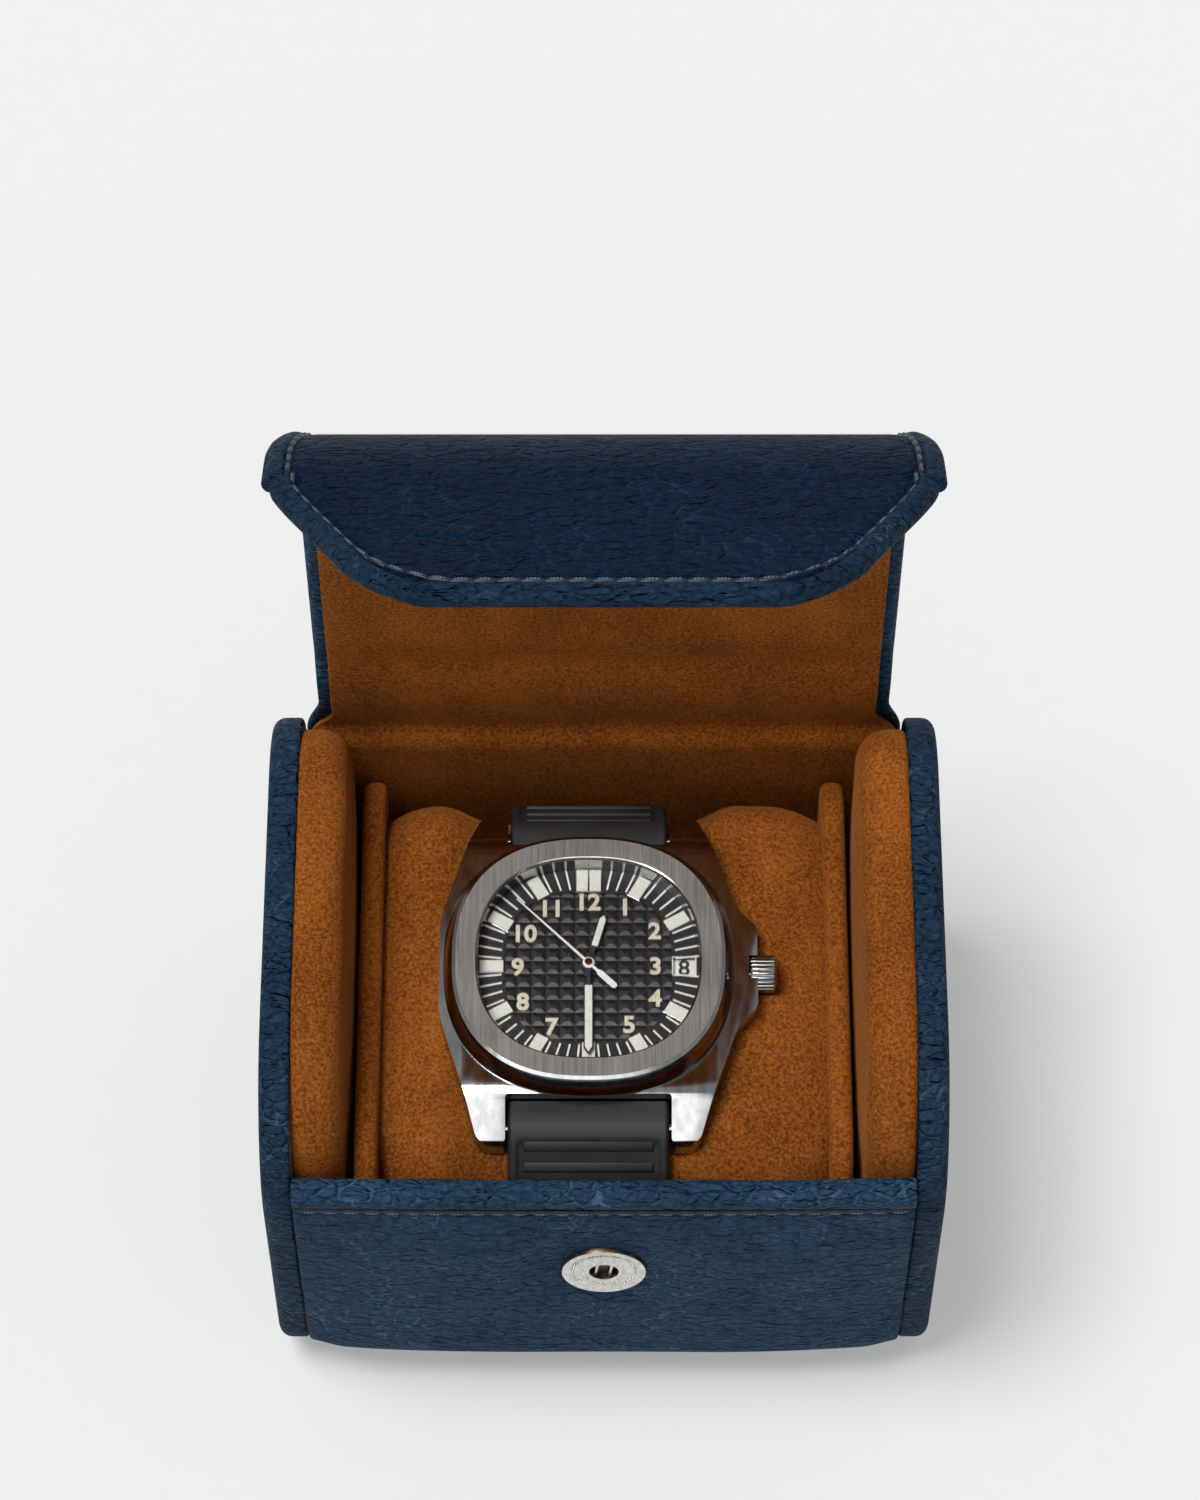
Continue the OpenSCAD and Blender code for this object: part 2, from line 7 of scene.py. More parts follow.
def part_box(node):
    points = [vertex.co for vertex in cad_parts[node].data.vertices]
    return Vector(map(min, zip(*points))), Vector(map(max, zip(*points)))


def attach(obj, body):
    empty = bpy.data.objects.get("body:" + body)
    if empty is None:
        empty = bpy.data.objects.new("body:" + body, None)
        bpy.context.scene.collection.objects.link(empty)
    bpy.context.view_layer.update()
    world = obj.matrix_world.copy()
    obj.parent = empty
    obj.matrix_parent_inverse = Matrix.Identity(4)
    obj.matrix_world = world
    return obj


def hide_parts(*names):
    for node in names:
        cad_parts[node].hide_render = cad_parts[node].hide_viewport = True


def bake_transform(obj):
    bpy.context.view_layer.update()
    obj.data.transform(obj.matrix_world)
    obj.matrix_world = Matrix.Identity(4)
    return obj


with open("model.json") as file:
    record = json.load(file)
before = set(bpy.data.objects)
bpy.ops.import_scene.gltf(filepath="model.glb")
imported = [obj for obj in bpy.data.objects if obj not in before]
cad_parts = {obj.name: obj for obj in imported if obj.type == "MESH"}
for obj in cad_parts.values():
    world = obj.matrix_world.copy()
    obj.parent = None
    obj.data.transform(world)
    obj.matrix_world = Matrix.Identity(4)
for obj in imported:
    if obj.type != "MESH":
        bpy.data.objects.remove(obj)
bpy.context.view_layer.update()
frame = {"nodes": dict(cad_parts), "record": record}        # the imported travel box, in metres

mm = 0.001


def deselectAll():
    if bpy.context.object and bpy.context.object.mode != "OBJECT":
        bpy.ops.object.mode_set(mode="OBJECT")
    for obj in list(bpy.context.selected_objects):
        obj.select_set(False)


def activate(obj):
    deselectAll()
    obj.select_set(True)
    bpy.context.view_layer.objects.active = obj
    return obj


def added(name):
    obj = bpy.context.active_object
    obj.name = name
    obj.data.name = name
    return obj


# selects the vertices, edges or faces that pass the test
def selectParts(obj, test, kind="VERT"):
    mesh = obj.data
    for item in list(mesh.polygons) + list(mesh.edges) + list(mesh.vertices):
        item.select = False
    if kind == "VERT":
        for v in mesh.vertices:
            v.select = test(v.co)
    if kind == "EDGE":
        for e in mesh.edges:
            a, b = (mesh.vertices[i].co for i in e.vertices)
            e.select = test(a, b)
    if kind == "FACE":
        for p in mesh.polygons:
            p.select = test(p.center, p.normal)


def edit(obj, kind):
    activate(obj)
    bpy.context.tool_settings.mesh_select_mode = (kind == "VERT", kind == "EDGE", kind == "FACE")
    bpy.ops.object.mode_set(mode="EDIT")


def done():
    bpy.ops.object.mode_set(mode="OBJECT")


def settle(obj):
    activate(obj)
    bpy.ops.object.transform_apply(location=True, rotation=True, scale=True)
    return obj


def applyAll(obj):
    activate(obj)
    for modifier in list(obj.modifiers):
        bpy.ops.object.modifier_apply(modifier=modifier.name)
    return obj


def smooth(obj, angle=40):
    activate(obj)
    bpy.ops.object.shade_smooth_by_angle(angle=math.radians(angle))
    return obj


def bevelled(obj, width, segments=3, angle=35):
    modifier = obj.modifiers.new("Bevel", "BEVEL")
    modifier.width = width * mm
    modifier.segments = segments
    modifier.limit_method = "ANGLE"
    modifier.angle_limit = math.radians(angle)
    modifier.harden_normals = False
    return applyAll(obj)


def thickened(obj, thickness, offset=-1):
    modifier = obj.modifiers.new("Solidify", "SOLIDIFY")
    modifier.thickness = thickness * mm
    modifier.offset = offset
    modifier.use_even_offset = True
    return applyAll(obj)


def normalsOut(obj):
    edit(obj, "FACE")
    bpy.ops.mesh.select_all(action="SELECT")
    bpy.ops.mesh.remove_doubles(threshold=0.00001)
    bpy.ops.mesh.normals_make_consistent(inside=False)
    done()
    return obj


def joined(name, parts):
    activate(parts[0])
    for part in parts:
        part.select_set(True)
    bpy.context.view_layer.objects.active = parts[0]
    if len(parts) > 1:
        bpy.ops.object.join()
    return added(name)


def finish(obj, material, body, slotName, *nodes):
    obj.data.materials.clear()
    obj.data.materials.append(material)
    settle(obj)
    if body:
        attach(obj, body)
    if nodes:
        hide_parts(*nodes)
    return obj


def eased(t):
    u = min(max(t, 0), 1)
    return u * u * (3 - 2 * u)


# a node material that grows from its Principled shader backwards
class Shader:
    def __init__(self, name, **values):
        self.material = bpy.data.materials.new(name)
        self.material.use_nodes = True
        self.tree = self.material.node_tree
        self.shader = self.tree.nodes["Principled BSDF"]
        self.set(self.shader, values)
        self.coords = self.tree.nodes.new("ShaderNodeTexCoord").outputs["Object"]

    def set(self, node, values):
        for key, value in values.items():
            node.inputs[key].default_value = value

    def node(self, kind, values=None, links=None, **props):
        node = self.tree.nodes.new("ShaderNode" + kind)
        for key, value in props.items():
            setattr(node, key, value)
        self.set(node, values or {})
        for key, output in (links or {}).items():
            self.tree.links.new(output, node.inputs[key])
        return node

    def stretched(self, scale, rotation=(0, 0, 0), coords=None):
        node = self.node("Mapping", {"Scale": scale, "Rotation": rotation}, {"Vector": coords or self.coords})
        return node.outputs[0]

    def noise(self, scale, detail=3, coords=None, roughness=0.5, distortion=0):
        return self.node("TexNoise", {"Scale": scale, "Detail": detail, "Roughness": roughness,
                                      "Distortion": distortion}, {"Vector": coords or self.coords})

    def ramp(self, value, stops):
        node = self.node("ValToRGB", None, {"Fac": value})
        ramp = node.color_ramp
        while len(ramp.elements) < len(stops):
            ramp.elements.new(0.5)
        for element, (position, colour) in zip(ramp.elements, stops):
            element.position = position
            element.color = (*colour, 1) if len(colour) == 3 else colour
        return node.outputs["Color"]

    def mapped(self, value, low, high, fromLow=0, fromHigh=1):
        node = self.node("MapRange", {"From Min": fromLow, "From Max": fromHigh, "To Min": low, "To Max": high},
                         {"Value": value})
        return node.outputs["Result"]

    def maths(self, operation, a, b=None):
        node = self.node("Math", operation=operation)
        for socket, value in zip(node.inputs, (a, b)):
            if value is None:
                continue
            if hasattr(value, "node"):
                self.tree.links.new(value, socket)
            else:
                socket.default_value = value
        return node.outputs[0]

    def bump(self, height, strength, distance, normal=None):
        links = {"Height": height}
        if normal:
            links["Normal"] = normal
        node = self.node("Bump", {"Strength": strength, "Distance": distance}, links)
        return node.outputs["Normal"]

    def feed(self, **outputs):
        for key, output in outputs.items():
            self.tree.links.new(output, self.shader.inputs[key.replace("_", " ")])
        return self.material


# leather colours: dark and light give the grain's tone, the third colour is a painted highlight on the crease ridges;
# the flap, welt and side tuples scale the colours into painted-shade copies of the leather
leatherLook = {"dark": (0.009, 0.024, 0.050), "light": (0.026, 0.064, 0.118), "creaseHighlight": (0.085, 0.150, 0.235),
               "grain": 900, "crease": 660, "flapPaintedShade": (0.15, 0.27, 0.38), "weltPaintedShade": (0.55, 0.6, 0.62),
               "sidePaintedShade": (0.72, 0.72, 0.72), "gloss": 0.03}


# with the mask option a leather takes its painted shade (a darker copy standing for light it misses) only where the
# mesh's painted-shade mask attribute is 1
def leatherMaterial(name, shade=(1, 1, 1), paintedShadeByMask=False):
    look = dict(leatherLook)
    # without the mask the whole copy takes the painted shade
    if not paintedShadeByMask:
        for key in ("dark", "light", "creaseHighlight"):
            look[key] = tuple(v * part for v, part in zip(look[key], shade))
    s = Shader(name, Roughness=0.5)
    s.shader.inputs["Specular IOR Level"].default_value = look["gloss"]
    warped = s.node("VectorMath", None, {0: s.coords}, operation="ADD")
    wobble = s.noise(260, 2)
    shift = s.node("VectorMath", {1: (0.0016, 0.0016, 0.0016)}, {0: wobble.outputs["Color"]}, operation="MULTIPLY")
    s.tree.links.new(shift.outputs[0], warped.inputs[1])
    long = s.stretched((0.7, 1, 1), coords=warped.outputs[0])
    grain = s.node("TexVoronoi", {"Scale": look["grain"]}, {"Vector": long}, feature="DISTANCE_TO_EDGE")
    pebble = s.mapped(grain.outputs["Distance"], 0, 1, 0.0, 0.22)
    creases = s.node("TexVoronoi", {"Scale": look["crease"]}, {"Vector": s.stretched((0.45, 1, 1),
                     coords=warped.outputs[0])}, feature="DISTANCE_TO_EDGE")
    crease = s.mapped(creases.outputs["Distance"], 0, 1, 0.0, 0.16)
    fine = s.noise(2600, 2)
    folds = s.noise(1, 3, coords=s.stretched((150, 380, 340), coords=warped.outputs[0]), distortion=1.2)
    fold = s.mapped(folds.outputs["Fac"], 0, 1, 0.42, 0.62)
    normal = s.bump(fine.outputs["Fac"], 0.12, 0.00008)
    normal = s.bump(pebble, 0.45, 0.00014, normal)
    normal = s.bump(crease, 0.9, 0.00042, normal)
    normal = s.bump(fold, 0.8, 0.0005, normal)
    patches = s.noise(55, 4)
    # painted highlight: pale thin lines on the crease ridges, stronger in random patches
    highlightPatches = s.mapped(s.noise(85, 3).outputs["Fac"], 0, 1, 0.45, 0.62)
    creaseGlint = s.maths("MULTIPLY", s.mapped(creases.outputs["Distance"], 1, 0, 0.0, 0.08), highlightPatches)
    # painted shade: the tone drops towards the edges of the grain cells, where the grain's creases lie; the large
    # patches vary the tone at random
    tone = s.maths("MULTIPLY", s.mapped(pebble, 0.62, 1), s.mapped(patches.outputs["Fac"], 0.5, 1.15))
    tone = s.maths("ADD", s.maths("MULTIPLY", tone, 0.7), s.maths("MULTIPLY", creaseGlint, 0.42))
    colour = s.ramp(tone, [(0.2, look["dark"]), (0.62, look["light"]), (1, look["creaseHighlight"])])
    # painted shade: the colour is scaled towards the shade tuple where the mask attribute rises
    if paintedShadeByMask:
        depth = s.node("Attribute", attribute_name="paintedShadeMask")
        drop = s.node("VectorMath", {1: [v - 1 for v in shade], 2: (1, 1, 1)}, {0: depth.outputs["Fac"]},
                      operation="MULTIPLY_ADD")
        colour = s.node("VectorMath", None, {0: colour, 1: drop.outputs[0]}, operation="MULTIPLY").outputs[0]
    s.feed(Base_Color=colour, Normal=normal,
           Roughness=s.mapped(patches.outputs["Fac"], 0.44, 0.6))
    return s.material


def suedeMaterial():
    look = {"dark": (0.115, 0.029, 0.0026), "light": (0.385, 0.118, 0.0150)}
    s = Shader("brownSuede", Roughness=0.95)
    s.shader.inputs["Specular IOR Level"].default_value = 0.15
    s.shader.inputs["Sheen Weight"].default_value = 0.2
    s.shader.inputs["Sheen Roughness"].default_value = 0.45
    s.shader.inputs["Sheen Tint"].default_value = (0.85, 0.36, 0.10, 1)
    nap = s.noise(2300, 3, roughness=0.7)
    brushed = s.noise(90, 4, coords=s.stretched((1, 0.6, 0.8)), distortion=0.6)
    cloud = s.noise(28, 2)
    tone = s.maths("ADD", s.maths("MULTIPLY", s.mapped(nap.outputs["Fac"], 0, 1, 0.28, 0.72), 0.5),
                   s.maths("ADD", s.maths("MULTIPLY", brushed.outputs["Fac"], 0.35),
                           s.maths("MULTIPLY", cloud.outputs["Fac"], 0.25)))
    fibres = s.noise(2600, 3, roughness=0.8)
    normal = s.bump(fibres.outputs["Fac"], 0.5, 0.00022)
    normal = s.bump(nap.outputs["Fac"], 0.35, 0.0002, normal)
    s.feed(Base_Color=s.ramp(tone, [(0.38, look["dark"]), (0.74, look["light"])]), Normal=normal)
    return s.material


def threadMaterial():
    s = Shader("navyThread", Roughness=0.6)
    twist = s.node("TexWave", {"Scale": 900, "Distortion": 0.5}, {"Vector": s.stretched((1, 1, 1), (0.6, 0.4, 0.5))})
    s.feed(Base_Color=s.ramp(twist.outputs["Fac"], [(0.2, (0.012, 0.026, 0.055)), (0.8, (0.095, 0.150, 0.240))]),
           Normal=s.bump(twist.outputs["Fac"], 0.5, 0.0001))
    return s.material


def brushedSteelMaterial():
    s = Shader("brushedSteel", Metallic=0.6, Roughness=0.42)
    lines = s.noise(1, 3, coords=s.stretched((5200, 130, 400)), roughness=0.6)
    broad = s.noise(140, 2)
    tone = s.maths("ADD", s.maths("MULTIPLY", lines.outputs["Fac"], 0.7),
                   s.maths("MULTIPLY", broad.outputs["Fac"], 0.3))
    s.feed(Base_Color=s.ramp(tone, [(0.3, (0.14, 0.14, 0.134)), (0.7, (0.31, 0.308, 0.298))]),
           Roughness=s.mapped(lines.outputs["Fac"], 0.36, 0.5), Normal=s.bump(lines.outputs["Fac"], 0.25, 0.00003))
    return s.material


def polishedSteelMaterial():
    s = Shader("polishedSteel", Metallic=1, Roughness=0.12)
    marks = s.noise(900, 4, coords=s.stretched((1, 0.3, 1)))
    s.feed(Base_Color=s.ramp(marks.outputs["Fac"], [(0.3, (0.28, 0.285, 0.285)), (0.7, (0.42, 0.425, 0.425))]),
           Roughness=s.mapped(marks.outputs["Fac"], 0.08, 0.2))
    return s.material


def nickelMaterial():
    s = Shader("nickel", Metallic=1, Roughness=0.22)
    marks = s.noise(1300, 4)
    s.feed(Base_Color=s.ramp(marks.outputs["Fac"], [(0.3, (0.52, 0.51, 0.49)), (0.7, (0.78, 0.77, 0.74))]),
           Roughness=s.mapped(marks.outputs["Fac"], 0.15, 0.36), Normal=s.bump(marks.outputs["Fac"], 0.15, 0.00004))
    return s.material


def darkWellNickelMaterial():
    s = Shader("darkWellNickel", Metallic=1, Roughness=0.35)
    marks = s.noise(700, 4)
    s.feed(Base_Color=s.ramp(marks.outputs["Fac"], [(0.3, (0.06, 0.045, 0.032)), (0.7, (0.17, 0.135, 0.10))]),
           Roughness=s.mapped(marks.outputs["Fac"], 0.28, 0.5))
    return s.material


def rubberMaterial():
    s = Shader("strapRubber", Roughness=0.55)
    s.shader.inputs["Specular IOR Level"].default_value = 0.3
    fine = s.noise(3000, 3)
    cloud = s.noise(120, 3)
    s.feed(Base_Color=s.ramp(cloud.outputs["Fac"], [(0.3, (0.012, 0.012, 0.013)), (0.7, (0.026, 0.026, 0.027))]),
           Roughness=s.mapped(cloud.outputs["Fac"], 0.42, 0.62), Normal=s.bump(fine.outputs["Fac"], 0.25, 0.00005))
    return s.material


def dialMaterial():
    pitch = 1.9 * mm
    s = Shader("dialHobnail", Roughness=0.32)
    axes = s.node("SeparateXYZ", None, {0: s.coords})
    slopes = []
    for axis in ("X", "Y"):
        cell = s.maths("FRACT", s.maths("DIVIDE", axes.outputs[axis], pitch))
        slopes.append(s.maths("SUBTRACT", 0.5, s.maths("ABSOLUTE", s.maths("SUBTRACT", cell, 0.5))))
    pyramid = s.mapped(s.maths("MINIMUM", *slopes), 0, 1, 0.0, 0.34)
    fine = s.noise(2200, 2)
    # painted shade: the hobnail's grooves are coloured darker and its pyramid tops lighter
    s.feed(Base_Color=s.ramp(pyramid, [(0, (0.006, 0.006, 0.007)), (1, (0.018, 0.018, 0.019))]),
           Roughness=s.mapped(fine.outputs["Fac"], 0.26, 0.42), Normal=s.bump(pyramid, 0.8, 0.00022))
    return s.material


def trackMaterial():
    s = Shader("trackBlack", Roughness=0.4)
    fine = s.noise(2600, 2)
    s.feed(Base_Color=s.ramp(fine.outputs["Fac"], [(0.3, (0.006, 0.006, 0.007)), (0.7, (0.012, 0.012, 0.013))]),
           Roughness=s.mapped(fine.outputs["Fac"], 0.35, 0.5))
    return s.material


def printMaterial(name, low, high, roughness=0.5):
    s = Shader(name, Roughness=roughness)
    grain = s.noise(3200, 3)
    colour = s.ramp(grain.outputs["Fac"], [(0.3, low), (0.7, high)])
    s.feed(Base_Color=colour, Normal=s.bump(grain.outputs["Fac"], 0.15, 0.00003))
    return s.material


def boardMaterial():
    s = Shader("fibreboard", Roughness=0.9)
    fibre = s.noise(400, 4, coords=s.stretched((1, 0.4, 1)))
    s.feed(Base_Color=s.ramp(fibre.outputs["Fac"], [(0.3, (0.30, 0.20, 0.12)), (0.7, (0.45, 0.33, 0.21))]),
           Normal=s.bump(fibre.outputs["Fac"], 0.3, 0.0002))
    return s.material


def brassMaterial():
    s = Shader("movementBrass", Metallic=1, Roughness=0.3)
    waves = s.node("TexWave", {"Scale": 400}, {"Vector": s.coords})
    s.feed(Base_Color=s.ramp(waves.outputs["Fac"], [(0.2, (0.55, 0.40, 0.18)), (0.8, (0.75, 0.58, 0.30))]))
    return s.material


def glassMaterial():
    s = Shader("crystalGlass", Roughness=0.02, IOR=1.08)
    s.shader.inputs["Transmission Weight"].default_value = 1
    s.shader.inputs["Alpha"].default_value = 0.12
    dust = s.noise(500, 3)
    s.feed(Base_Color=s.ramp(dust.outputs["Fac"], [(0.3, (0.96, 0.98, 0.98)), (0.7, (1, 1, 1))]))
    return s.material


leather = leatherMaterial("navyLeather")
# the flap's copy takes a painted shade past the fold, standing for the light its top faces away from
flapLeather = leatherMaterial("navyFlapLeatherPaintedShade", leatherLook["flapPaintedShade"], True)
# painted shade: a darker copy of the leather for the side boards, whose faces get less light
sideLeather = leatherMaterial("navySideLeatherPaintedShade", leatherLook["sidePaintedShade"])
# the welt's copy takes a lighter painted shade than the flap's: a painted highlight for the light its rounded rim
# catches
weltLeather = leatherMaterial("navyWeltLeatherPaintedShade", leatherLook["weltPaintedShade"], True)
suede = suedeMaterial()
thread = threadMaterial()
brushedSteel = brushedSteelMaterial()
polishedSteel = polishedSteelMaterial()
nickel = nickelMaterial()
darkWellNickel = darkWellNickelMaterial()
rubber = rubberMaterial()
# near-black paint for the painted shadow in the seam grooves
seamShade = printMaterial("seamShade", (0.003, 0.006, 0.012), (0.008, 0.013, 0.022))
hobnail = dialMaterial()
trackBlack = trackMaterial()
cream = printMaterial("creamPaint", (0.52, 0.47, 0.36), (0.68, 0.63, 0.50))
lume = printMaterial("lumePaint", (0.60, 0.61, 0.55), (0.74, 0.75, 0.68))
whitePaint = printMaterial("whitePaint", (0.70, 0.70, 0.68), (0.82, 0.82, 0.80))
inkBlack = printMaterial("inkBlack", (0.006, 0.006, 0.006), (0.014, 0.014, 0.014))
fibreboard = boardMaterial()
brass = brassMaterial()
glass = glassMaterial()
print("materials made")


def nodeBox(name):
    low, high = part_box(name)
    return [v / mm for v in low], [v / mm for v in high]


shellLow, shellHigh = nodeBox("shell_leather")
cheekLow, cheekHigh = nodeBox("right_side_leather")
padLow, padHigh = nodeBox("right_pad_suede")
rollLow, rollHigh = nodeBox("front_binding")
hingeLow, hingeHigh = nodeBox("hinge_leather")
lidLow, lidHigh = nodeBox("lid_leather")
foldHigh = nodeBox("fold_leather")[1]
halfIn = shellHigh[0]
backY = hingeHigh[1]
hingeZ = hingeLow[2]
lidStartZ = hingeHigh[2]
foldZ = lidHigh[2]
lidHalf = lidHigh[0]
lidT = lidHigh[1] - lidLow[1]
flapRest = [j for j in frame["record"]["behaviour"]["joints"] if j["name"] == "flap_bend"][0]["range_deg"][1]
foldAngle = math.radians(flapRest)
foldMidRadius = (foldHigh[2] - foldZ) / math.sin(foldAngle) - lidT / 2


def arcPath(cy, cz, r, start, end, spacing=1.0):
    steps = max(3, int(abs(math.radians(end - start)) * r / spacing))
    turn = [math.radians(start + (end - start) * i / steps) for i in range(steps + 1)]
    return [(cy + r * math.cos(a), cz + r * math.sin(a)) for a in turn]


def linePath(p, q, spacing=1.0):
    length = math.dist(p, q)
    steps = max(1, int(length / spacing))
    return [(p[0] + (q[0] - p[0]) * i / steps, p[1] + (q[1] - p[1]) * i / steps) for i in range(steps + 1)]


def chain(*paths):
    points = []
    for path in paths:
        for p in path:
            if not points or math.dist(points[-1], p) > 1e-4:
                points.append(p)
    return points


# down the front, along the base and up the back, drawn in from the outside of the shell
def shellPath(inset, frontTop, rearTop):
    y0, y1 = shellLow[1] + inset, shellHigh[1] - inset
    r, top = caseSizes["baseRound"] - inset, caseSizes["frontRound"] - inset
    zTop = caseSizes["roundTop"] - inset - top
    front = arcPath(y0 + top, zTop, top, 180 - math.degrees(math.asin(min(1, (frontTop - zTop) / top))), 180)
    return chain(front if frontTop > zTop else [], linePath((y0, min(frontTop, zTop)), (y0, inset + r)),
                 arcPath(y0 + r, inset + r, r, 180, 270), linePath((y0 + r, inset), (y1 - r, inset)),
                 arcPath(y1 - r, inset + r, r, -90, 0), linePath((y1, inset + r), (y1, rearTop)))


def lengths(path):
    total = [0]
    for p, q in zip(path, path[1:]):
        total.append(total[-1] + math.dist(p, q))
    return total


# a sheet of leather along a path in Y and Z; halfWidth(s) is half its width s millimetres along it
def leatherSheet(name, path, halfWidth, columns=36, thickness=1.2, offset=-1, rim=0.4, segments=3):
    rows = len(path) - 1
    along = lengths(path)
    deselectAll()
    bpy.ops.mesh.primitive_grid_add(x_subdivisions=columns, y_subdivisions=rows, size=1)
    obj = added(name)
    for v in obj.data.vertices:
        row = min(max(round((v.co.y + 0.5) * rows), 0), rows)
        half = halfWidth(along[row])
        v.co = Vector((2 * v.co.x * half * mm, path[row][0] * mm, path[row][1] * mm))
    if thickness:
        thickened(obj, thickness, offset)
    if rim:
        bevelled(obj, rim, segments, 50)
    return smooth(obj, 50)


# moves each vertex by move(x, y, z), all in millimetres
def reshaped(obj, move):
    for v in obj.data.vertices:
        x, y, z = (c / mm for c in v.co)
        v.co = Vector(move(x, y, z)) * mm
    return obj


caseSizes = {"swell": 1.25, "snapDimple": 1.2, "wallT": 1.2, "roll": 3.3, "crease": 1.2, "groove": 0.75,
             "baseRound": 12, "frontRound": 21, "roundTop": 68, "wave": 0.22, "tuck": 0.6, "seamSag": 0.5}
seamZ = rollHigh[2] - caseSizes["roll"] - 0.35
socketBox = nodeBox("snap_socket")
snapZ = (socketBox[0][2] + socketBox[1][2]) / 2


# the hinge strip is drawn in a little between the case and the open lid
def creaseIn(y, z):
    if hingeZ < z < lidStartZ:
        return y - caseSizes["crease"] * math.sin(math.pi * (z - hingeZ) / (lidStartZ - hingeZ)) ** 2
    return y


# rounded rectangle in Y and Z, always with equally many points; radii: front low, rear low, rear high, front high
def roundedLoop(y0, y1, z0, z1, radii, turn=10, side=10):
    starts = ((y0 + radii[0], z0 + radii[0], 180, radii[0]), (y1 - radii[1], z0 + radii[1], 270, radii[1]),
              (y1 - radii[2], z1 - radii[2], 0, radii[2]), (y0 + radii[3], z1 - radii[3], 90, radii[3]))
    arcs = []
    for cy, cz, start, r in starts:
        turns = [math.radians(start + 90 * i / turn) for i in range(turn + 1)]
        arcs.append([(cy + r * math.cos(a), cz + r * math.sin(a)) for a in turns])
    points = []
    for arc, following in zip(arcs, arcs[1:] + arcs[:1]):
        p, q = arc[-1], following[0]
        points += arc + [(p[0] + (q[0] - p[0]) * i / side, p[1] + (q[1] - p[1]) * i / side) for i in range(1, side)]
    return points


# a closed body through loops of equally many points (x, y, z); its first and last loops shrink to a point
def loopBody(name, loops):
    count, rows = len(loops[0]), len(loops) - 1
    deselectAll()
    bpy.ops.mesh.primitive_grid_add(x_subdivisions=count, y_subdivisions=rows, size=1)
    obj = added(name)
    for v in obj.data.vertices:
        column = round((v.co.x + 0.5) * count) % count
        row = min(max(round((v.co.y + 0.5) * rows), 0), rows)
        v.co = Vector(loops[row][column]) * mm
    normalsOut(obj)
    return smooth(obj, 70)


def shrunk(loop, k, x, centre):
    return [(x, centre[0] + (y - centre[0]) * k, centre[1] + (z - centre[1]) * k) for y, z in loop]


# uneven hand of soft goods: how far the surface stands out at a place, in millimetres
def softness(x, y, z, size, amount, seed=0):
    return amount * noise.noise(Vector((x / size + seed, y / size, z / size)))


# the cord sizes are for a painted shadow: a longer, thicker dark row under the stitches for the shade in the seam's
# groove
stitchLook = {"length": 1.9, "pitch": 2.7, "radius": 0.2, "shadowCordLength": 3.3, "shadowCordRadius": 0.42}


# one stitch is modelled and copied along a row; points in millimetres
# with seam set, the row is the dark painted-shadow cord
def stitchRow(name, points, normals, material=None, seam=False):
    deselectAll()
    bpy.ops.mesh.primitive_uv_sphere_add(segments=10, ring_count=8, radius=1)
    model = added("stitchModel")
    half = stitchLook["shadowCordLength" if seam else "length"] / 2
    r = stitchLook["shadowCordRadius" if seam else "radius"]
    for v in model.data.vertices:
        bulge = math.copysign(abs(v.co.x) ** 0.45, v.co.x)
        v.co = Vector((bulge * half, v.co.y * r, v.co.z * r * 0.9 - 0.12 * bulge * bulge)) * mm
    along = [0]
    for p, q in zip(points, points[1:]):
        along.append(along[-1] + (Vector(q) - Vector(p)).length)
    count = max(1, round(along[-1] / stitchLook["pitch"]))
    copies = []
    for i in range(count):
        s = (i + 0.5) * along[-1] / count
        k = max(j for j in range(len(along) - 1) if along[j] <= s)
        t = (s - along[k]) / (along[k + 1] - along[k])
        p, q = Vector(points[k]), Vector(points[k + 1])
        forward = (q - p).normalized()
        up = (Vector(normals[k]) * (1 - t) + Vector(normals[k + 1]) * t).normalized()
        side = up.cross(forward).normalized()
        up = forward.cross(side).normalized()
        turn = Matrix((forward, side, up)).transposed().to_4x4()
        turn.translation = (p + (q - p) * t) * mm
        copy = model.copy()
        copy.data = model.data.copy()
        copy.data.transform(turn)
        bpy.context.collection.objects.link(copy)
        copies.append(copy)
    bpy.data.objects.remove(model)
    row = joined(name, copies)
    row.data.materials.clear()
    row.data.materials.append(material or thread)
    smooth(row, 60)
    return row


# more points in the first few millimetres of a path
def refined(path, reach, parts=3):
    points = [path[0]]
    for (p, q), at in zip(zip(path, path[1:]), lengths(path)):
        n = parts if at < reach else 1
        points += [(p[0] + (q[0] - p[0]) * i / n, p[1] + (q[1] - p[1]) * i / n) for i in range(1, n + 1)]
    return points


# the front wall swells below its rolled edge and over the bottom corner, as padded leather does
def frontBulge(x, y, z):
    across = max(0, 1 - abs(x / halfIn) ** 4)
    forward = eased((-y - 18) / 14)
    height = 1 - 0.9 * eased((z - 37) / 14)
    snap = math.exp(-((x * x + (z - snapZ) ** 2) / 9.0 ** 2) ** 1.5)
    return (x, y - (caseSizes["swell"] * height - caseSizes["snapDimple"] * snap) * across * forward, z)


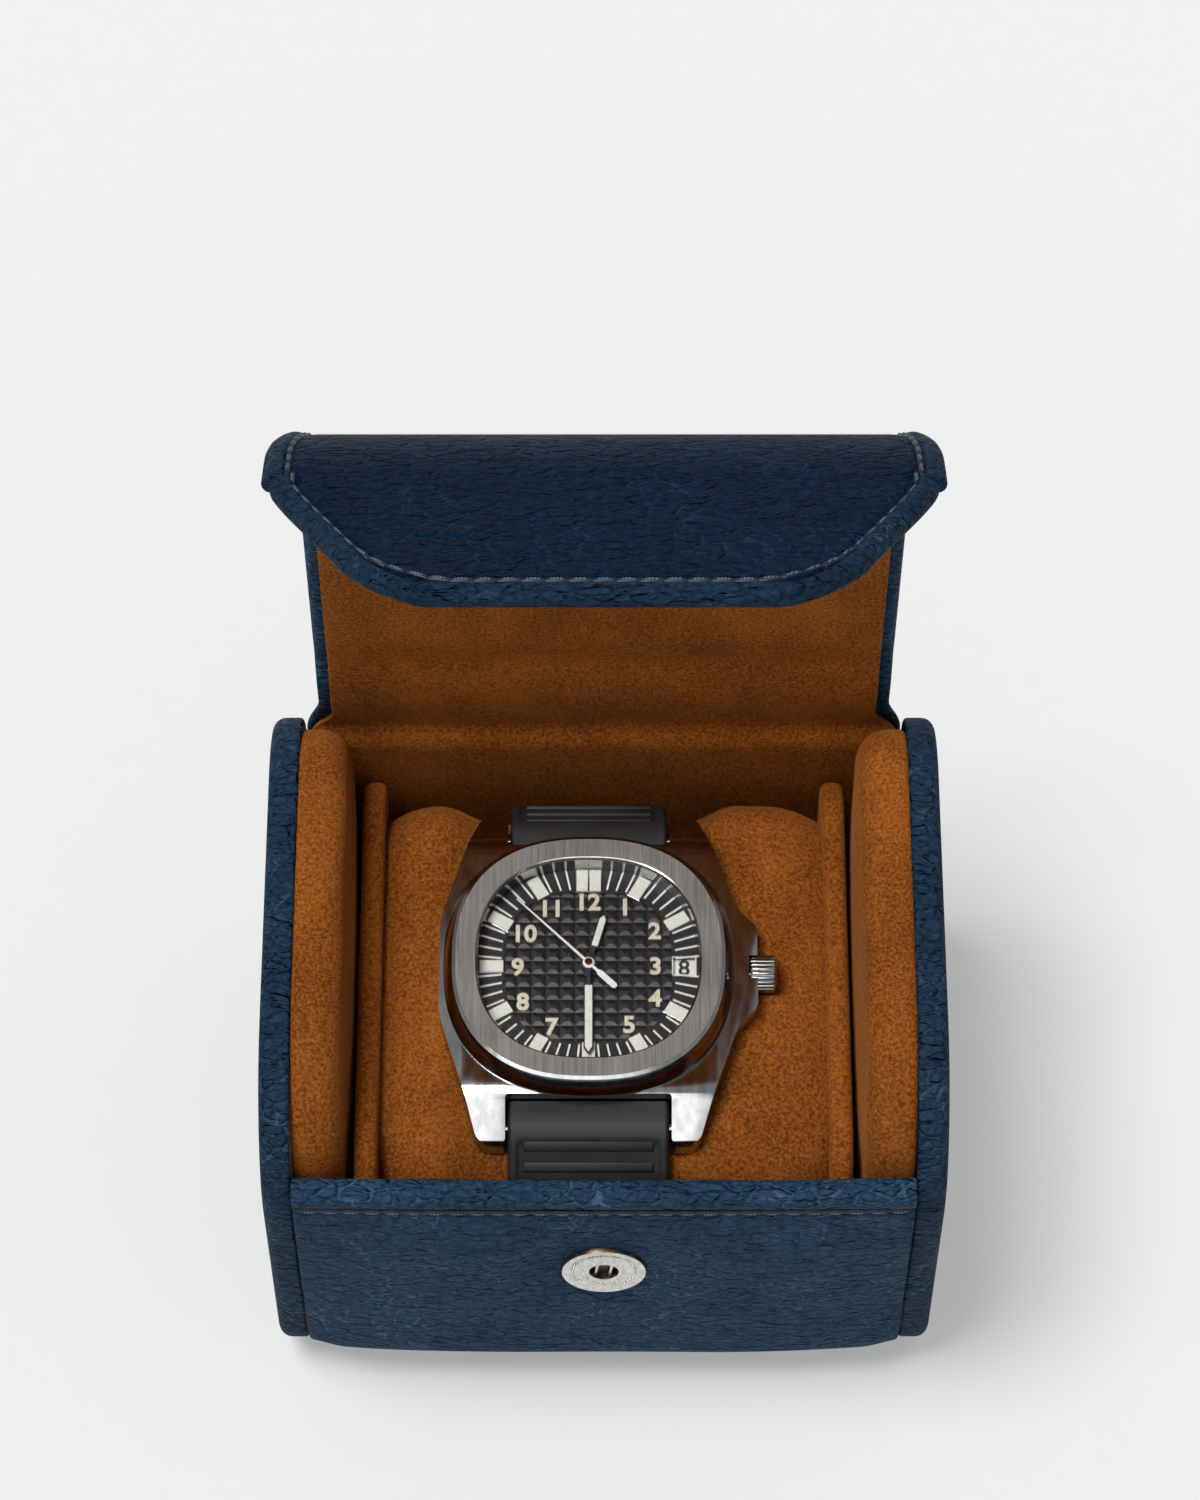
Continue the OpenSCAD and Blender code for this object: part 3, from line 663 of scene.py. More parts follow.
# leather from the front wall's top round the base, up the back and over the hinge into the lid
def makeOuterLeather():
    case = shellPath(0, rollLow[2] + 0.4, hingeZ)
    strip = [(creaseIn(y, z), z) for y, z in linePath((backY, hingeZ), (backY, lidStartZ), 0.8)]
    path = chain(case, strip, linePath((backY, lidStartZ), (backY, foldZ), 1.0))
    hingeAt = lengths(case)[-1]
    lidAt = hingeAt + lengths(strip)[-1]

    def half(s):
        return halfIn - 0.02 - (halfIn - 0.02 - lidHalf) * eased((s - hingeAt) / 9)

    def thick(s):
        return caseSizes["wallT"] + (lidT - caseSizes["wallT"]) * eased((s - lidAt + 6) / 6)

    def rim(s):
        return 0.6 + (lidLook["rim"] - 0.6) * eased((s - hingeAt) / 12)
    path = refined(path, 9)
    outer = rolledSheet("outerLeather", path, half, thick, rim, 60)

    def shape(x, y, z):
        seam = seamZ - caseSizes["seamSag"] * max(0, 1 - (x / halfIn) ** 2)
        groove = caseSizes["groove"] * math.exp(-((z - seam) / 0.5) ** 2) * (1 if y < -25 else 0)
        wave = softness(x, y, z, 16, caseSizes["wave"], 4) * (1 if y < -20 else 0) * eased((z - 4) / 6)
        tuck = caseSizes["tuck"] * eased((abs(x) - 35) / 5) * eased((30 - z) / 14) * eased((-y - 24) / 8)
        x, y, z = frontBulge(x, y, z)
        return (x, y + groove + wave + tuck, z)
    reshaped(outer, shape)
    finish(smooth(outer, 50), leather, None, "navy_leather", "shell_leather", "hinge_leather", "lid_leather")
    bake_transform(outer)


# one suede lining: inside of the front, base, back, over the rear wall's top and the hinge, onto the lid
def makeLining():
    inner = shellPath(3.0, rollLow[2] + 0.3, hingeZ + 0.15)
    face = backY - lidT - lidLook["proud"]
    rise = []
    steps = 26
    for i in range(1, steps + 1):
        z = hingeZ + 0.15 + (lidStartZ - hingeZ - 0.15) * i / steps
        hingeFace = creaseIn(backY, z) - 1.15
        out = eased((z - hingeZ - 0.15) / 2.8)
        near = eased((z - lidStartZ + 6) / 6)
        y = inner[-1][0] * (1 - out) + hingeFace * out
        rise.append((y * (1 - near) + (face + 0.6) * near, z))
    path = chain(inner, rise, linePath((face + 0.6, lidStartZ), (face + 0.6, foldZ), 1.0))
    hingeAt = lengths(inner)[-1]

    def half(s):
        return halfIn - 0.02 - (halfIn - 0.02 - lidHalf + lidLook["border"]) * eased((s - hingeAt) / 7)
    lining = leatherSheet("suedeLining", path, half, 44, 0.7, 1, 0.12, 2)
    normalsOut(lining)
    reshaped(lining, frontBulge)
    finish(smooth(lining, 60), suede, None, "brown_suede", "shell_lining", "hinge_lining", "lid_lining")
    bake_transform(lining)


# the rolled top edge of the front wall: a strip turned over the edge and stitched along its foot
def makeRoll():
    y0, y1 = rollLow[1] - 0.75, rollHigh[1]
    top, low = rollHigh[2], rollHigh[2] - caseSizes["roll"]
    path = chain(linePath((y0 + 0.25, low), (y0, low + 0.7), 0.3), linePath((y0, low + 0.7), (y0, top - 1.6), 0.4),
                 arcPath(y0 + 1.6, top - 1.6, 1.6, 180, 90, 0.3), arcPath(y1 - 1.5, top - 1.5, 1.5, 90, 0, 0.3),
                 linePath((y1, top - 1.5), (y1, low - 1.2), 0.5))
    roll = leatherSheet("frontRoll", path, lambda s: halfIn - 0.02, 80, 0.9, -1, 0.2, 2)
    normalsOut(roll)

    def shape(x, y, z):
        x, y, z = frontBulge(x, y, z)
        above = eased((z - low) / 1.5)
        uneven = softness(x, y, z, 7, 0.16, 3) * above
        sag = caseSizes["seamSag"] * max(0, 1 - (x / halfIn) ** 2) * above
        return (x, y + uneven, z + softness(x, 0, 0, 9, 0.22, 8) * above - sag)
    reshaped(roll, shape)
    finish(smooth(roll, 60), leather, "case", "navy_leather", "front_binding")
    z = seamZ
    xs = [-halfIn + 0.8 + i * (2 * halfIn - 1.6) / 40 for i in range(41)]
    frontY = shellPath(0, z, hingeZ)[0][0]
    points = [(x, frontBulge(x, frontY + 0.05, z)[1], z - 0.35 - caseSizes["seamSag"] * max(0, 1 - (x / halfIn) ** 2))
              for x in xs]
    ups = [(0, -1, 0.1)] * len(points)
    lifted = [(x, y - 0.33, z) for x, y, z in points]
    # the second row is a painted shadow in the seam's groove
    row = joined("frontStitches", [stitchRow("frontThread", lifted, ups),
                                   stitchRow("frontSeamShadow", points, ups, seamShade, True)])
    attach(row, "case")


cheekLook = {"low": 12, "rear": 14, "front": 20, "rim": 1.7, "innerRim": 0.5}


# leather-covered side board with a rounded rim
def makeCheek(side):
    name = "right" if side > 0 else "left"
    x0, x1 = cheekLow[0], cheekHigh[0]
    y0, y1, z1 = cheekLow[1], cheekHigh[1], cheekHigh[2]
    deselectAll()
    bpy.ops.mesh.primitive_cube_add(size=1, location=((x0 + x1) / 2 * mm, 0, z1 / 2 * mm),
                                    scale=((x1 - x0) * mm, (y1 - y0) * mm, z1 * mm))
    cheek = settle(added(name + "Cheek"))
    look = cheekLook
    for yEdge, zEdge, radius in ((y0, 0, look["low"]), (y1, 0, look["low"]), (y1, z1, look["rear"]),
                                 (y0, z1, look["front"])):
        selectParts(cheek, lambda a, b: all(abs(p.y / mm - yEdge) < 0.1 and abs(p.z / mm - zEdge) < 0.1
                                            for p in (a, b)), "EDGE")
        edit(cheek, "EDGE")
        bpy.ops.mesh.bevel(offset=radius * mm, segments=16, affect="EDGES")
        done()
    for xFace, width in ((x1, look["rim"]), (x0, look["innerRim"])):
        selectParts(cheek, lambda a, b: all(abs(p.x / mm - xFace) < 0.01 for p in (a, b)), "EDGE")
        edit(cheek, "EDGE")
        bpy.ops.mesh.bevel(offset=width * mm, segments=6, affect="EDGES")
        done()
    if side < 0:
        reshaped(cheek, lambda x, y, z: (-x, y, z))
        edit(cheek, "FACE")
        bpy.ops.mesh.select_all(action="SELECT")
        bpy.ops.mesh.flip_normals()
        done()
    # the side boards take the painted-shade copy of the leather
    finish(smooth(cheek, 45), sideLeather, "case", "navy_leather", name + "_side_leather")


# a cube with its long edges along X and its end rims rounded; radii: front low, rear low, rear high, front high
def roundedBox(name, low, high, radii, rim, rimSegments=6, corner=14):
    deselectAll()
    size = [h - l for l, h in zip(low, high)]
    bpy.ops.mesh.primitive_cube_add(size=1, location=[(l + h) / 2 * mm for l, h in zip(low, high)],
                                    scale=[s * mm for s in size])
    obj = settle(added(name))
    corners = ((low[1], low[2]), (high[1], low[2]), (high[1], high[2]), (low[1], high[2]))
    for (yEdge, zEdge), radius in zip(corners, radii):
        selectParts(obj, lambda a, b: all(abs(p.y / mm - yEdge) < 0.05 and abs(p.z / mm - zEdge) < 0.05
                                          for p in (a, b)), "EDGE")
        edit(obj, "EDGE")
        bpy.ops.mesh.bevel(offset=radius * mm, segments=corner, affect="EDGES")
        done()
    for xFace, width in rim:
        selectParts(obj, lambda a, b: all(abs(p.x / mm - xFace) < 0.01 for p in (a, b)), "EDGE")
        edit(obj, "EDGE")
        bpy.ops.mesh.bevel(offset=width * mm, segments=rimSegments, affect="EDGES")
        done()
    return obj


def mirrored(obj):
    reshaped(obj, lambda x, y, z: (-x, y, z))
    edit(obj, "FACE")
    bpy.ops.mesh.select_all(action="SELECT")
    bpy.ops.mesh.flip_normals()
    done()
    return obj


padLook = {"low": 8.4, "rear": 11, "front": 18, "edge": 0.9, "crown": 0.9, "uneven": 0.22}


# padded side: full to its leather board, rounded over to a crowned inner face
def makePad(side):
    name = "right" if side > 0 else "left"
    y0, y1, z0, z1 = padLow[1], padHigh[1], padLow[2], padHigh[2]
    loop = roundedLoop(y0, y1, z0, z1, (padLook["low"], padLook["low"], padLook["rear"], padLook["front"]), 14, 12)
    centre = ((y0 + y1) / 2, (z0 + z1) / 2)
    inner, back = padLow[0] + 0.05, halfIn + 0.1
    edge, crown = padLook["edge"], padLook["crown"]
    shoulder = back - 2.4
    steps = [(0, back), (0.5, back), (0.97, back), (0.99, back - 0.15), (1, back - 0.6), (1, back - 1.5), (1, shoulder)]
    for i in range(1, 11):
        a = math.radians(9 * i)
        steps.append((1 - (1 - edge) * (1 - math.cos(a)), shoulder - (shoulder - inner - crown) * math.sin(a)))
    steps += [(k, inner + crown * (k / edge) ** 3) for k in (0.86, 0.8, 0.73, 0.65, 0.56, 0.46, 0.36, 0.25, 0.13, 0)]
    pad = loopBody(name + "Pad", [shrunk(loop, k, x, centre) for k, x in steps])

    def soften(x, y, z):
        free = eased((back - 1.5 - x) / 3)
        return (max(x + softness(x, y, z, 11, padLook["uneven"], side * 5) * free, inner), y, z)
    reshaped(pad, soften)
    if side < 0:
        mirrored(pad)
    finish(smooth(pad, 70), suede, "case", "brown_suede", name + "_pad_suede", name + "_pad_foam")


makeRoll()
for side in (-1, 1):
    makeCheek(side)
    makePad(side)
print("case made")


# a stiff sheet with rounded long edges: a loop round the sheet is swept along the path
def rolledSheet(name, path, halfWidth, thick, rim, across=34, tip=False, raised=None):
    along = lengths(path)
    thickAt = thick if callable(thick) else (lambda s: thick)
    rimAt = rim if callable(rim) else (lambda s: rim)
    rows, turn = len(path) - 1, 8
    loopSize = 2 * (across + turn)
    deselectAll()
    bpy.ops.mesh.primitive_grid_add(x_subdivisions=loopSize, y_subdivisions=rows, size=1)
    obj = added(name)
    for v in obj.data.vertices:
        column = round((v.co.x + 0.5) * loopSize) % loopSize
        row = min(max(round((v.co.y + 0.5) * rows), 0), rows)
        half, s = halfWidth(along[row]), along[row]
        thick, rim = thickAt(s), rimAt(s)
        edgeThick, flat = thick / 2, half - rim
        if column <= across:
            x, n = flat * math.sin(math.pi * (column / across - 0.5)), edgeThick
            if raised:
                n += raised(half - abs(x), s)
        elif column <= across + turn:
            a = math.pi * (column - across) / turn
            x, n = flat + rim * math.sin(a), edgeThick * math.cos(a)
        elif column <= 2 * across + turn:
            x, n = flat * math.sin(math.pi * (0.5 - (column - across - turn) / across)), -edgeThick
        else:
            a = math.pi * (column - 2 * across - turn) / turn
            x, n = -flat - rim * math.sin(a), -edgeThick * math.cos(a)
        if tip:
            left = along[-1] - s
            if left < thick / 2:
                n *= math.sqrt(max(0.0, 1 - (1 - left / (thick / 2)) ** 2))
        p, q = path[max(row - 1, 0)], path[min(row + 1, rows)]
        length = math.dist(p, q)
        out = ((q[1] - p[1]) / length, -(q[0] - p[0]) / length)
        y = path[row][0] + out[0] * (n - thick / 2)
        z = path[row][1] + out[1] * (n - thick / 2)
        v.co = Vector((x, y, z)) * mm
    edit(obj, "EDGE")
    bpy.ops.mesh.select_all(action="SELECT")
    bpy.ops.mesh.remove_doubles(threshold=0.000005)
    bpy.ops.mesh.select_all(action="DESELECT")
    bpy.ops.mesh.select_non_manifold()
    bpy.ops.mesh.edge_face_add()
    done()
    normalsOut(obj)
    return smooth(obj, 60)


lidLook = {"rim": 1.1, "border": 1.75, "proud": 0.15, "flapHalf": 40.2, "flapReach": 26, "stitchInset": 3.0,
           "slant": 15.4 / 23.5, "slantStart": 1.5, "soft": 2.2, "waist": 0.6, "tipRound": 8.5}
foldCentreY = backY - lidT / 2 - foldMidRadius
foldReach = foldAngle * (foldMidRadius + lidT / 2)
flapWay = (-math.sin(foldAngle), math.cos(foldAngle))


def foldPath(inset, extra=0):
    bend = arcPath(foldCentreY, foldZ, foldMidRadius + lidT / 2 - inset, 0, math.degrees(foldAngle), 0.7)
    tip = bend[-1]
    reach = lidLook["flapReach"] - extra
    flap = linePath(tip, (tip[0] + flapWay[0] * reach, tip[1] + flapWay[1] * reach), 0.45)
    last = flap[-1]
    fine = [(last[0] - flapWay[0] * d, last[1] - flapWay[1] * d) for d in (0.9, 0.6, 0.35, 0.15, 0.04)]
    flap = [p for p in flap[:-1] if math.dist(p, last) > 1.1] + fine + [last]
    return chain(bend, flap)


# half width of fold and flap at s millimetres past the lid
def flapHalf(s, inset=0):
    full = lidLook["flapHalf"]
    if s < foldReach:
        return lidHalf + (full - lidHalf) * eased((s / foldReach - 0.25) / 0.6) - inset
    t = s - foldReach
    reach = lidLook["flapReach"] - inset
    low = full - inset * 0.9
    chamfer = low - max(0, t - lidLook["slantStart"]) * lidLook["slant"]
    soft = lidLook["soft"]
    half = -soft * math.log(math.exp(-low / soft) + math.exp(-(chamfer + 1.2) / soft))
    half = min(half, low) - lidLook["waist"] * max(0, 1 - ((t - 11) / 8) ** 2)
    tipRadius = lidLook["tipRound"]
    left = reach - t
    if left < tipRadius:
        half -= (tipRadius - math.sqrt(max(0, tipRadius ** 2 - (tipRadius - left) ** 2))) * 0.92
    return half


# raised welt between the stitches and the edge, and the groove that the stitches lie in
def welt(edge, s):
    d = min(edge * 0.9, foldReach + lidLook["flapReach"] - s)
    start = eased((s / foldReach - 0.3) / 0.25)
    return start * (0.34 * math.exp(-((d - 1.7) / 0.75) ** 2) - 0.3 * math.exp(-((d - 3.0) / 0.42) ** 2))


def makeFlap():
    tip = foldPath(lidT / 2)
    flap = rolledSheet("flapLeather", foldPath(0), flapHalf, lidT, lidLook["rim"], 110, True, welt)
    finish(flap, flapLeather, None, "navy_leather", "fold_leather", "flap_leather")
    flap.data.materials.append(weltLeather)
    outline = foldPath(0)
    along = lengths(outline)

    def rowAt(y, z):
        return min(range(len(along)), key=lambda i: math.dist(outline[i], (y, z)))
    # painted shade mask: 0 at the lid, rising past the fold to 1 over the flap, which faces away from the light
    depth = flap.data.attributes.new("paintedShadeMask", "FLOAT", "POINT")
    for v, value in zip(flap.data.vertices, depth.data):
        value.value = eased((along[rowAt(v.co.y / mm, v.co.z / mm)] / foldReach - 0.1) / 0.8)
    for face in flap.data.polygons:      # the rim outside the stitches gets a paler painted shade: a painted highlight for the light the rounded rim catches
        x, y, z = face.center / mm
        row = rowAt(y, z)
        edge = min(flapHalf(along[row]) - abs(x), foldReach + lidLook["flapReach"] - along[row])
        face.material_index = 1 if edge < lidLook["stitchInset"] - 0.5 else 0
    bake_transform(flap)
    raised, border = 0.45, lidLook["border"] + 0.15
    linedPath = foldPath(lidT - raised, border)
    linedReach = foldAngle * (foldMidRadius + raised - lidT / 2)

    def lined(s):
        return flapHalf(s * foldReach / linedReach if s < linedReach else s + foldReach - linedReach, border)
    lining = leatherSheet("flapLining", linedPath, lined, 40, 0.6, 1, 0.12, 2)
    normalsOut(lining)
    finish(lining, suede, None, "brown_suede", "fold_lining", "flap_lining")
    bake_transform(lining)
    inset = lidLook["stitchInset"]
    path = foldPath(-0.08, inset)
    along = lengths(path)
    side = []
    for i, (p, s) in enumerate(zip(path, along)):
        if s > foldReach * 0.42:
            q, r = path[max(i - 1, 0)], path[min(i + 1, len(path) - 1)]
            length = math.dist(q, r)
            normal = (0, (r[1] - q[1]) / length, -(r[0] - q[0]) / length)
            side.append(((flapHalf(s, inset), p[0], p[1]), normal))
    last = side[-1]
    cross = [((last[0][0] - 0.5 * i, last[0][1], last[0][2]), last[1]) for i in range(1, int(last[0][0] * 4))]
    left = [((-p[0], p[1], p[2]), n) for p, n in reversed(side)]
    row = side + [c for c in cross if c[0][0] > -last[0][0]] + left
    ups = [n for p, n in row]
    low = [tuple(c - 0.3 * n for c, n in zip(p, up)) for p, up in row]
    # the second row is a painted shadow in the seam's groove
    stitches = joined("flapStitches", [stitchRow("flapThread", [p for p, n in row], ups),
                                       stitchRow("flapSeamShadow", low, ups, seamShade, True)])
    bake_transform(stitches)
    hovering = [flap, lining, stitches] + [frame["nodes"][node] for node in ("flap_board", "snap_stud", "stud_rivet")]
    for piece in hovering:      # the studio's light comes in under the open flap
        piece.visible_shadow = False


makeOuterLeather()
makeLining()
makeFlap()
print("lid and flap made")

backPlate = nodeBox("case_back")
watchX, watchY = [(backPlate[0][i] + backPlate[1][i]) / 2 for i in (0, 1)]
cushionLook = {"rise": 3.4, "bulge": 1.8, "drop": 1.5, "radius": 6, "drawn": 1.8, "flat": 12, "slope": 8, "uneven": 0.3}
crownLow, crownHigh = nodeBox("crown")


# foam cushion in suede: pressed in under the watch and strap, full beside them, drawn in at its ends
def makeCushion():
    low, high = nodeBox("cushion_cover")
    look, end = cushionLook, high[0]
    midY, halfY = (low[1] + high[1]) / 2, (high[1] - low[1]) / 2 - look["bulge"]
    z0, z1 = low[2] + look["drop"], high[2] - look["rise"]
    rows = 72
    loops = [[(-end, midY, (z0 + z1) / 2)] * 160]
    for i in range(rows + 1):
        x = end * math.sin(math.pi * (i / rows - 0.5))
        s = eased((abs(x - watchX) - look["flat"]) / look["slope"])
        d = look["drawn"] * (max(abs(x) - 22, 0) / (end - 22)) ** 2
        y = halfY + look["bulge"] * s - d
        r = look["radius"] + 2 * s
        loop = roundedLoop(midY - y, midY + y, z0 - look["drop"] * s + d, z1 + look["rise"] * s - d, (r,) * 4, 8, 32)
        loops.append([(x, y, z) for y, z in loop])
    loops.append([(end, midY, (z0 + z1) / 2)] * 160)
    body = loopBody("cushionBody", loops)
    bedR, stemZ = (crownHigh[2] - crownLow[2]) / 2 + 0.45, (crownHigh[2] + crownLow[2]) / 2

    def press(x, y, z):
        free = eased((abs(x - watchX) - 11) / 4) * eased((end - abs(x)) / 3)
        z += softness(x, y, z, 12, look["uneven"]) * free * (1 if z > 30 else 0)
        y += softness(x, y, z, 14, look["uneven"], 7) * free * eased((abs(y - midY) - 15) / 8)
        near = eased((x - crownLow[0] + 1.6) / 1.6) * (1 - eased((x - crownHigh[0] - 1.6) / 1.6))
        across = min(abs(y - watchY) / bedR, 1)
        bed = stemZ - bedR * math.sqrt(1 - across * across)
        if z > 44 and across < 1:
            z -= max(z - bed, 0) * near
        return (x, y, z)
    reshaped(body, press)
    finish(smooth(body, 75), suede, "cushion_with_watch", "brown_suede", "cushion_cover", "cushion_foam")
    for side in ("left", "right"):
        low, high = nodeBox(side + "_cushion_end")
        flange = roundedBox(side + "CushionEnd", low, high, (8, 8, 8, 8), [(low[0], 1.1), (high[0], 1.1)], 5, 14)
        finish(smooth(flange, 60), suede, "cushion_with_watch", "brown_suede", side + "_cushion_end")


makeCushion()
print("cushion made")

# a ring of outlines round the watch's axis: each step is (radius, height); a power over 2 makes it squarish
def turnedRing(name, steps, sides=128, power=None, closed=True):
    deselectAll()
    r0, z0 = steps[0]
    bpy.ops.mesh.primitive_circle_add(vertices=sides, radius=r0 * mm, location=(0, 0, z0 * mm), fill_type="NOTHING")
    obj = settle(added(name))
    edit(obj, "VERT")
    bpy.ops.mesh.select_all(action="SELECT")
    previous = r0
    for r, z in steps[1:]:
        bpy.ops.mesh.extrude_region_move(TRANSFORM_OT_translate={"value": (0, 0, (z - z0) * mm)})
        bpy.ops.transform.resize(value=(r / previous, r / previous, 1), center_override=(0, 0, z * mm))
        previous, z0 = r, z
    if not closed:
        bpy.ops.mesh.select_all(action="DESELECT")
        bpy.ops.mesh.select_non_manifold()
        bpy.ops.mesh.edge_face_add()
    done()
    normalsOut(obj)
    if power:
        for v in obj.data.vertices:
            r = math.hypot(v.co.x, v.co.y)
            if r > 1e-9:
                c, s = v.co.x / r, v.co.y / r
                k = 1 / (abs(c) ** power + abs(s) ** power) ** (1 / power)
                v.co.x *= k
                v.co.y *= k
    return obj


def toWatch(obj):
    for v in obj.data.vertices:
        v.co += Vector((watchX, watchY, 0)) * mm
    return obj


watchLook = {"power": 2.4, "trackPower": 2.8, "opening": 14.5, "track": 11.0, "markReach": 14.2, "skirt": 1.05,
             "numeral": 3.35, "tick": 0.24}
bezelLow, bezelHigh = nodeBox("bezel")
dialTop = nodeBox("dial")[1][2]
trackTop = nodeBox("chapter_ring")[1][2]
watchBody = "cushion_with_watch"


def caseCopy(node, name, width, segments, material, body, slotName):
    source = frame["nodes"][node]
    copy = source.copy()
    copy.data = source.data.copy()
    bpy.context.collection.objects.link(copy)
    copy.name = name
    copy.parent = None
    copy.matrix_world = source.matrix_world
    activate(copy)
    settle(copy)
    edit(copy, "FACE")
    bpy.ops.mesh.select_all(action="SELECT")
    bpy.ops.mesh.remove_doubles(threshold=0.000005)
    bpy.ops.mesh.tris_convert_to_quads()
    bpy.ops.mesh.dissolve_limited(angle_limit=math.radians(1))
    done()
    bevelled(copy, width, segments, 25)
    copy.hide_render = False
    copy.hide_viewport = False
    finish(smooth(copy, 35), material, body, slotName, node)
    return copy


def makeWatchHead():
    top, low = bezelHigh[2], bezelLow[2]
    skirt = (bezelHigh[0] - bezelLow[0]) / 2
    half = skirt - watchLook["skirt"]
    opening = watchLook["opening"]
    steps = [(opening, low + 0.1), (opening, top - 0.4), (opening + 0.2, top - 0.07), (opening + 0.35, top),
             (half - 0.55, top), (half - 0.1, top - 0.22), (half + 0.25, top - 0.8), (skirt - 0.1, low + 0.7),
             (skirt, low + 0.45), (skirt - 0.06, low + 0.02), (opening, low + 0.1)]
    bezel = toWatch(turnedRing("bezelRing", steps, 160, watchLook["power"]))
    bezel.data.materials.clear()
    bezel.data.materials.append(polishedSteel)
    bezel.data.materials.append(brushedSteel)
    for p in bezel.data.polygons:
        flat = p.normal.z > 0.95 and p.center.z > (top - 0.05) * mm
        p.material_index = 1 if flat else 0
    smooth(bezel, 22)
    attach(bezel, watchBody)
    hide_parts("bezel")
    crystalTop = top + 0.12
    crystal = toWatch(turnedRing("crystalGlass", [(opening + 0.1, top - 0.6), (opening + 0.12, top - 0.1),
                                 (opening - 0.1, crystalTop), (opening - 1.5, crystalTop + 0.05),
                                 (opening - 6, crystalTop + 0.1), (0.4, crystalTop + 0.12)], 128,
                                 watchLook["power"], False))
    finish(smooth(crystal, 50), glass, watchBody, "crystal", "crystal")
    body = caseCopy("watch_case", "watchCase", 0.42, 3, polishedSteel, watchBody, "steel")
    return body


# flat plate from points in the dial's plane, with a bevelled rim
def plate(name, points, z, thick, bevel, material=None):
    deselectAll()
    bpy.ops.mesh.primitive_circle_add(vertices=len(points), radius=mm, fill_type="NGON")
    obj = added(name)
    for v, (x, y) in zip(obj.data.vertices, points):
        v.co = Vector((x, y, z)) * mm
    edit(obj, "FACE")
    bpy.ops.mesh.select_all(action="SELECT")
    bpy.ops.mesh.extrude_region_move(TRANSFORM_OT_translate={"value": (0, 0, thick * mm)})
    done()
    normalsOut(obj)
    if bevel:
        bevelled(obj, bevel, 2, 40)
    if material:
        obj.data.materials.clear()
        obj.data.materials.append(material)
    return obj


def squareReach(angle, half, power="power"):
    c, s = abs(math.cos(angle)), abs(math.sin(angle))
    p = watchLook[power]
    return half / (c ** p + s ** p) ** (1 / p)


def turnedPoint(x, y, angle):
    return (x * math.cos(angle) - y * math.sin(angle), x * math.sin(angle) + y * math.cos(angle))


def makeDialWork():
    ticks, blocks, frames = [], [], []
    for minute in range(60):
        angle = math.radians(90 - 6 * minute)
        reach = squareReach(angle, watchLook["markReach"])
        inner = squareReach(angle, watchLook["track"] + 0.45, "trackPower")
        if minute % 5:
            w = watchLook["tick"] / 2
            end = reach + 0.25
            box = [turnedPoint(x, y, angle) for x, y in ((inner, -w), (end, -w), (end, w), (inner, w))]
            ticks.append(plate("tick", box, trackTop, 0.03, 0))
    for hour in (1, 2, 4, 5, 6, 7, 8, 9, 10, 11, 12):
        angle = math.radians(90 - 30 * hour)
        reach = squareReach(angle, watchLook["markReach"])
        halves = [(-0.86, 1.5), (0.86, 1.5)] if hour == 12 else [(0, 1.7)]
        for middle, wide in halves:
            for name, grow, z, thick, group in (("hourFrame", 0.14, trackTop, 0.14, frames),
                                               ("hourBlock", 0, trackTop + 0.02, 0.2, blocks)):
                x0, x1 = reach - 3.0 - grow, reach + 0.1 + grow
                y0, y1 = middle - wide / 2 - grow, middle + wide / 2 + grow
                box = [turnedPoint(x, y, angle) for x, y in ((x0, y0), (x1, y0), (x1, y1), (x0, y1))]
                group.append(plate(name, box, z, thick, 0.05))
    for name, group, material, slotName, nodes in (("minuteTicks", ticks, whitePaint, "white_metal", ()),
                                                  ("hourBlocks", blocks, lume, "lume", ("hour_markers",)),
                                                  ("hourFrames", frames, polishedSteel, "steel", ())):
        work = toWatch(joined(name, group))
        finish(work, material, watchBody, slotName, *nodes)


def textMesh(name, body, size, x, y, z, thick, bold):
    deselectAll()
    bpy.ops.object.text_add(location=(0, 0, 0))
    text = bpy.context.active_object
    text.data.body = body
    text.data.size = size * mm
    text.data.align_x = "CENTER"
    text.data.align_y = "CENTER"
    text.data.extrude = thick * mm / 2
    text.data.offset = bold * mm
    text.data.resolution_u = 6
    activate(text)
    bpy.ops.object.convert(target="MESH")
    obj = added(name)
    for v in obj.data.vertices:
        v.co = Vector((v.co.x, v.co.y, v.co.z + thick * mm / 2)) + Vector((x, y, z)) * mm
    obj.data.update()
    return obj


def makeNumerals():
    size = watchLook["numeral"]
    places = {"12": (-0.1, 9.5), "1": (4.8, 8.75), "2": (8.7, 5.2), "3": (8.8, 0), "4": (8.75, -4.75), "5": (5.3, -8.6),
              "7": (-4.85, -8.9), "8": (-8.6, -5.25), "9": (-9.3, -0.15), "10": (-8.5, 4.8), "11": (-4.95, 8.55)}
    numerals = [textMesh("numeral" + key, key, size, x, y, dialTop, 0.12, 0.1) for key, (x, y) in places.items()]
    finish(toWatch(joined("dialNumerals", numerals)), cream, watchBody, "lume")
    wheelTop = nodeBox("date_wheel")[1][2]
    window = plate("dateGround", [(11.15, -1.27), (13.95, -1.27), (13.95, 1.27), (11.15, 1.27)], wheelTop, 0.1, 0)
    finish(toWatch(window), whitePaint, "date_wheel", "date_white")
    date = textMesh("dateNumber", "8", 3.1, 12.55, 0, wheelTop + 0.1, 0.06, 0.05)
    finish(toWatch(date), inkBlack, "date_wheel", "date_white")
    rim = turnedFrame("dateFrame", 10.95, 14.15, -1.42, 1.42, 0.16, trackTop, 0.12)
    finish(toWatch(rim), whitePaint, watchBody, "white_metal")


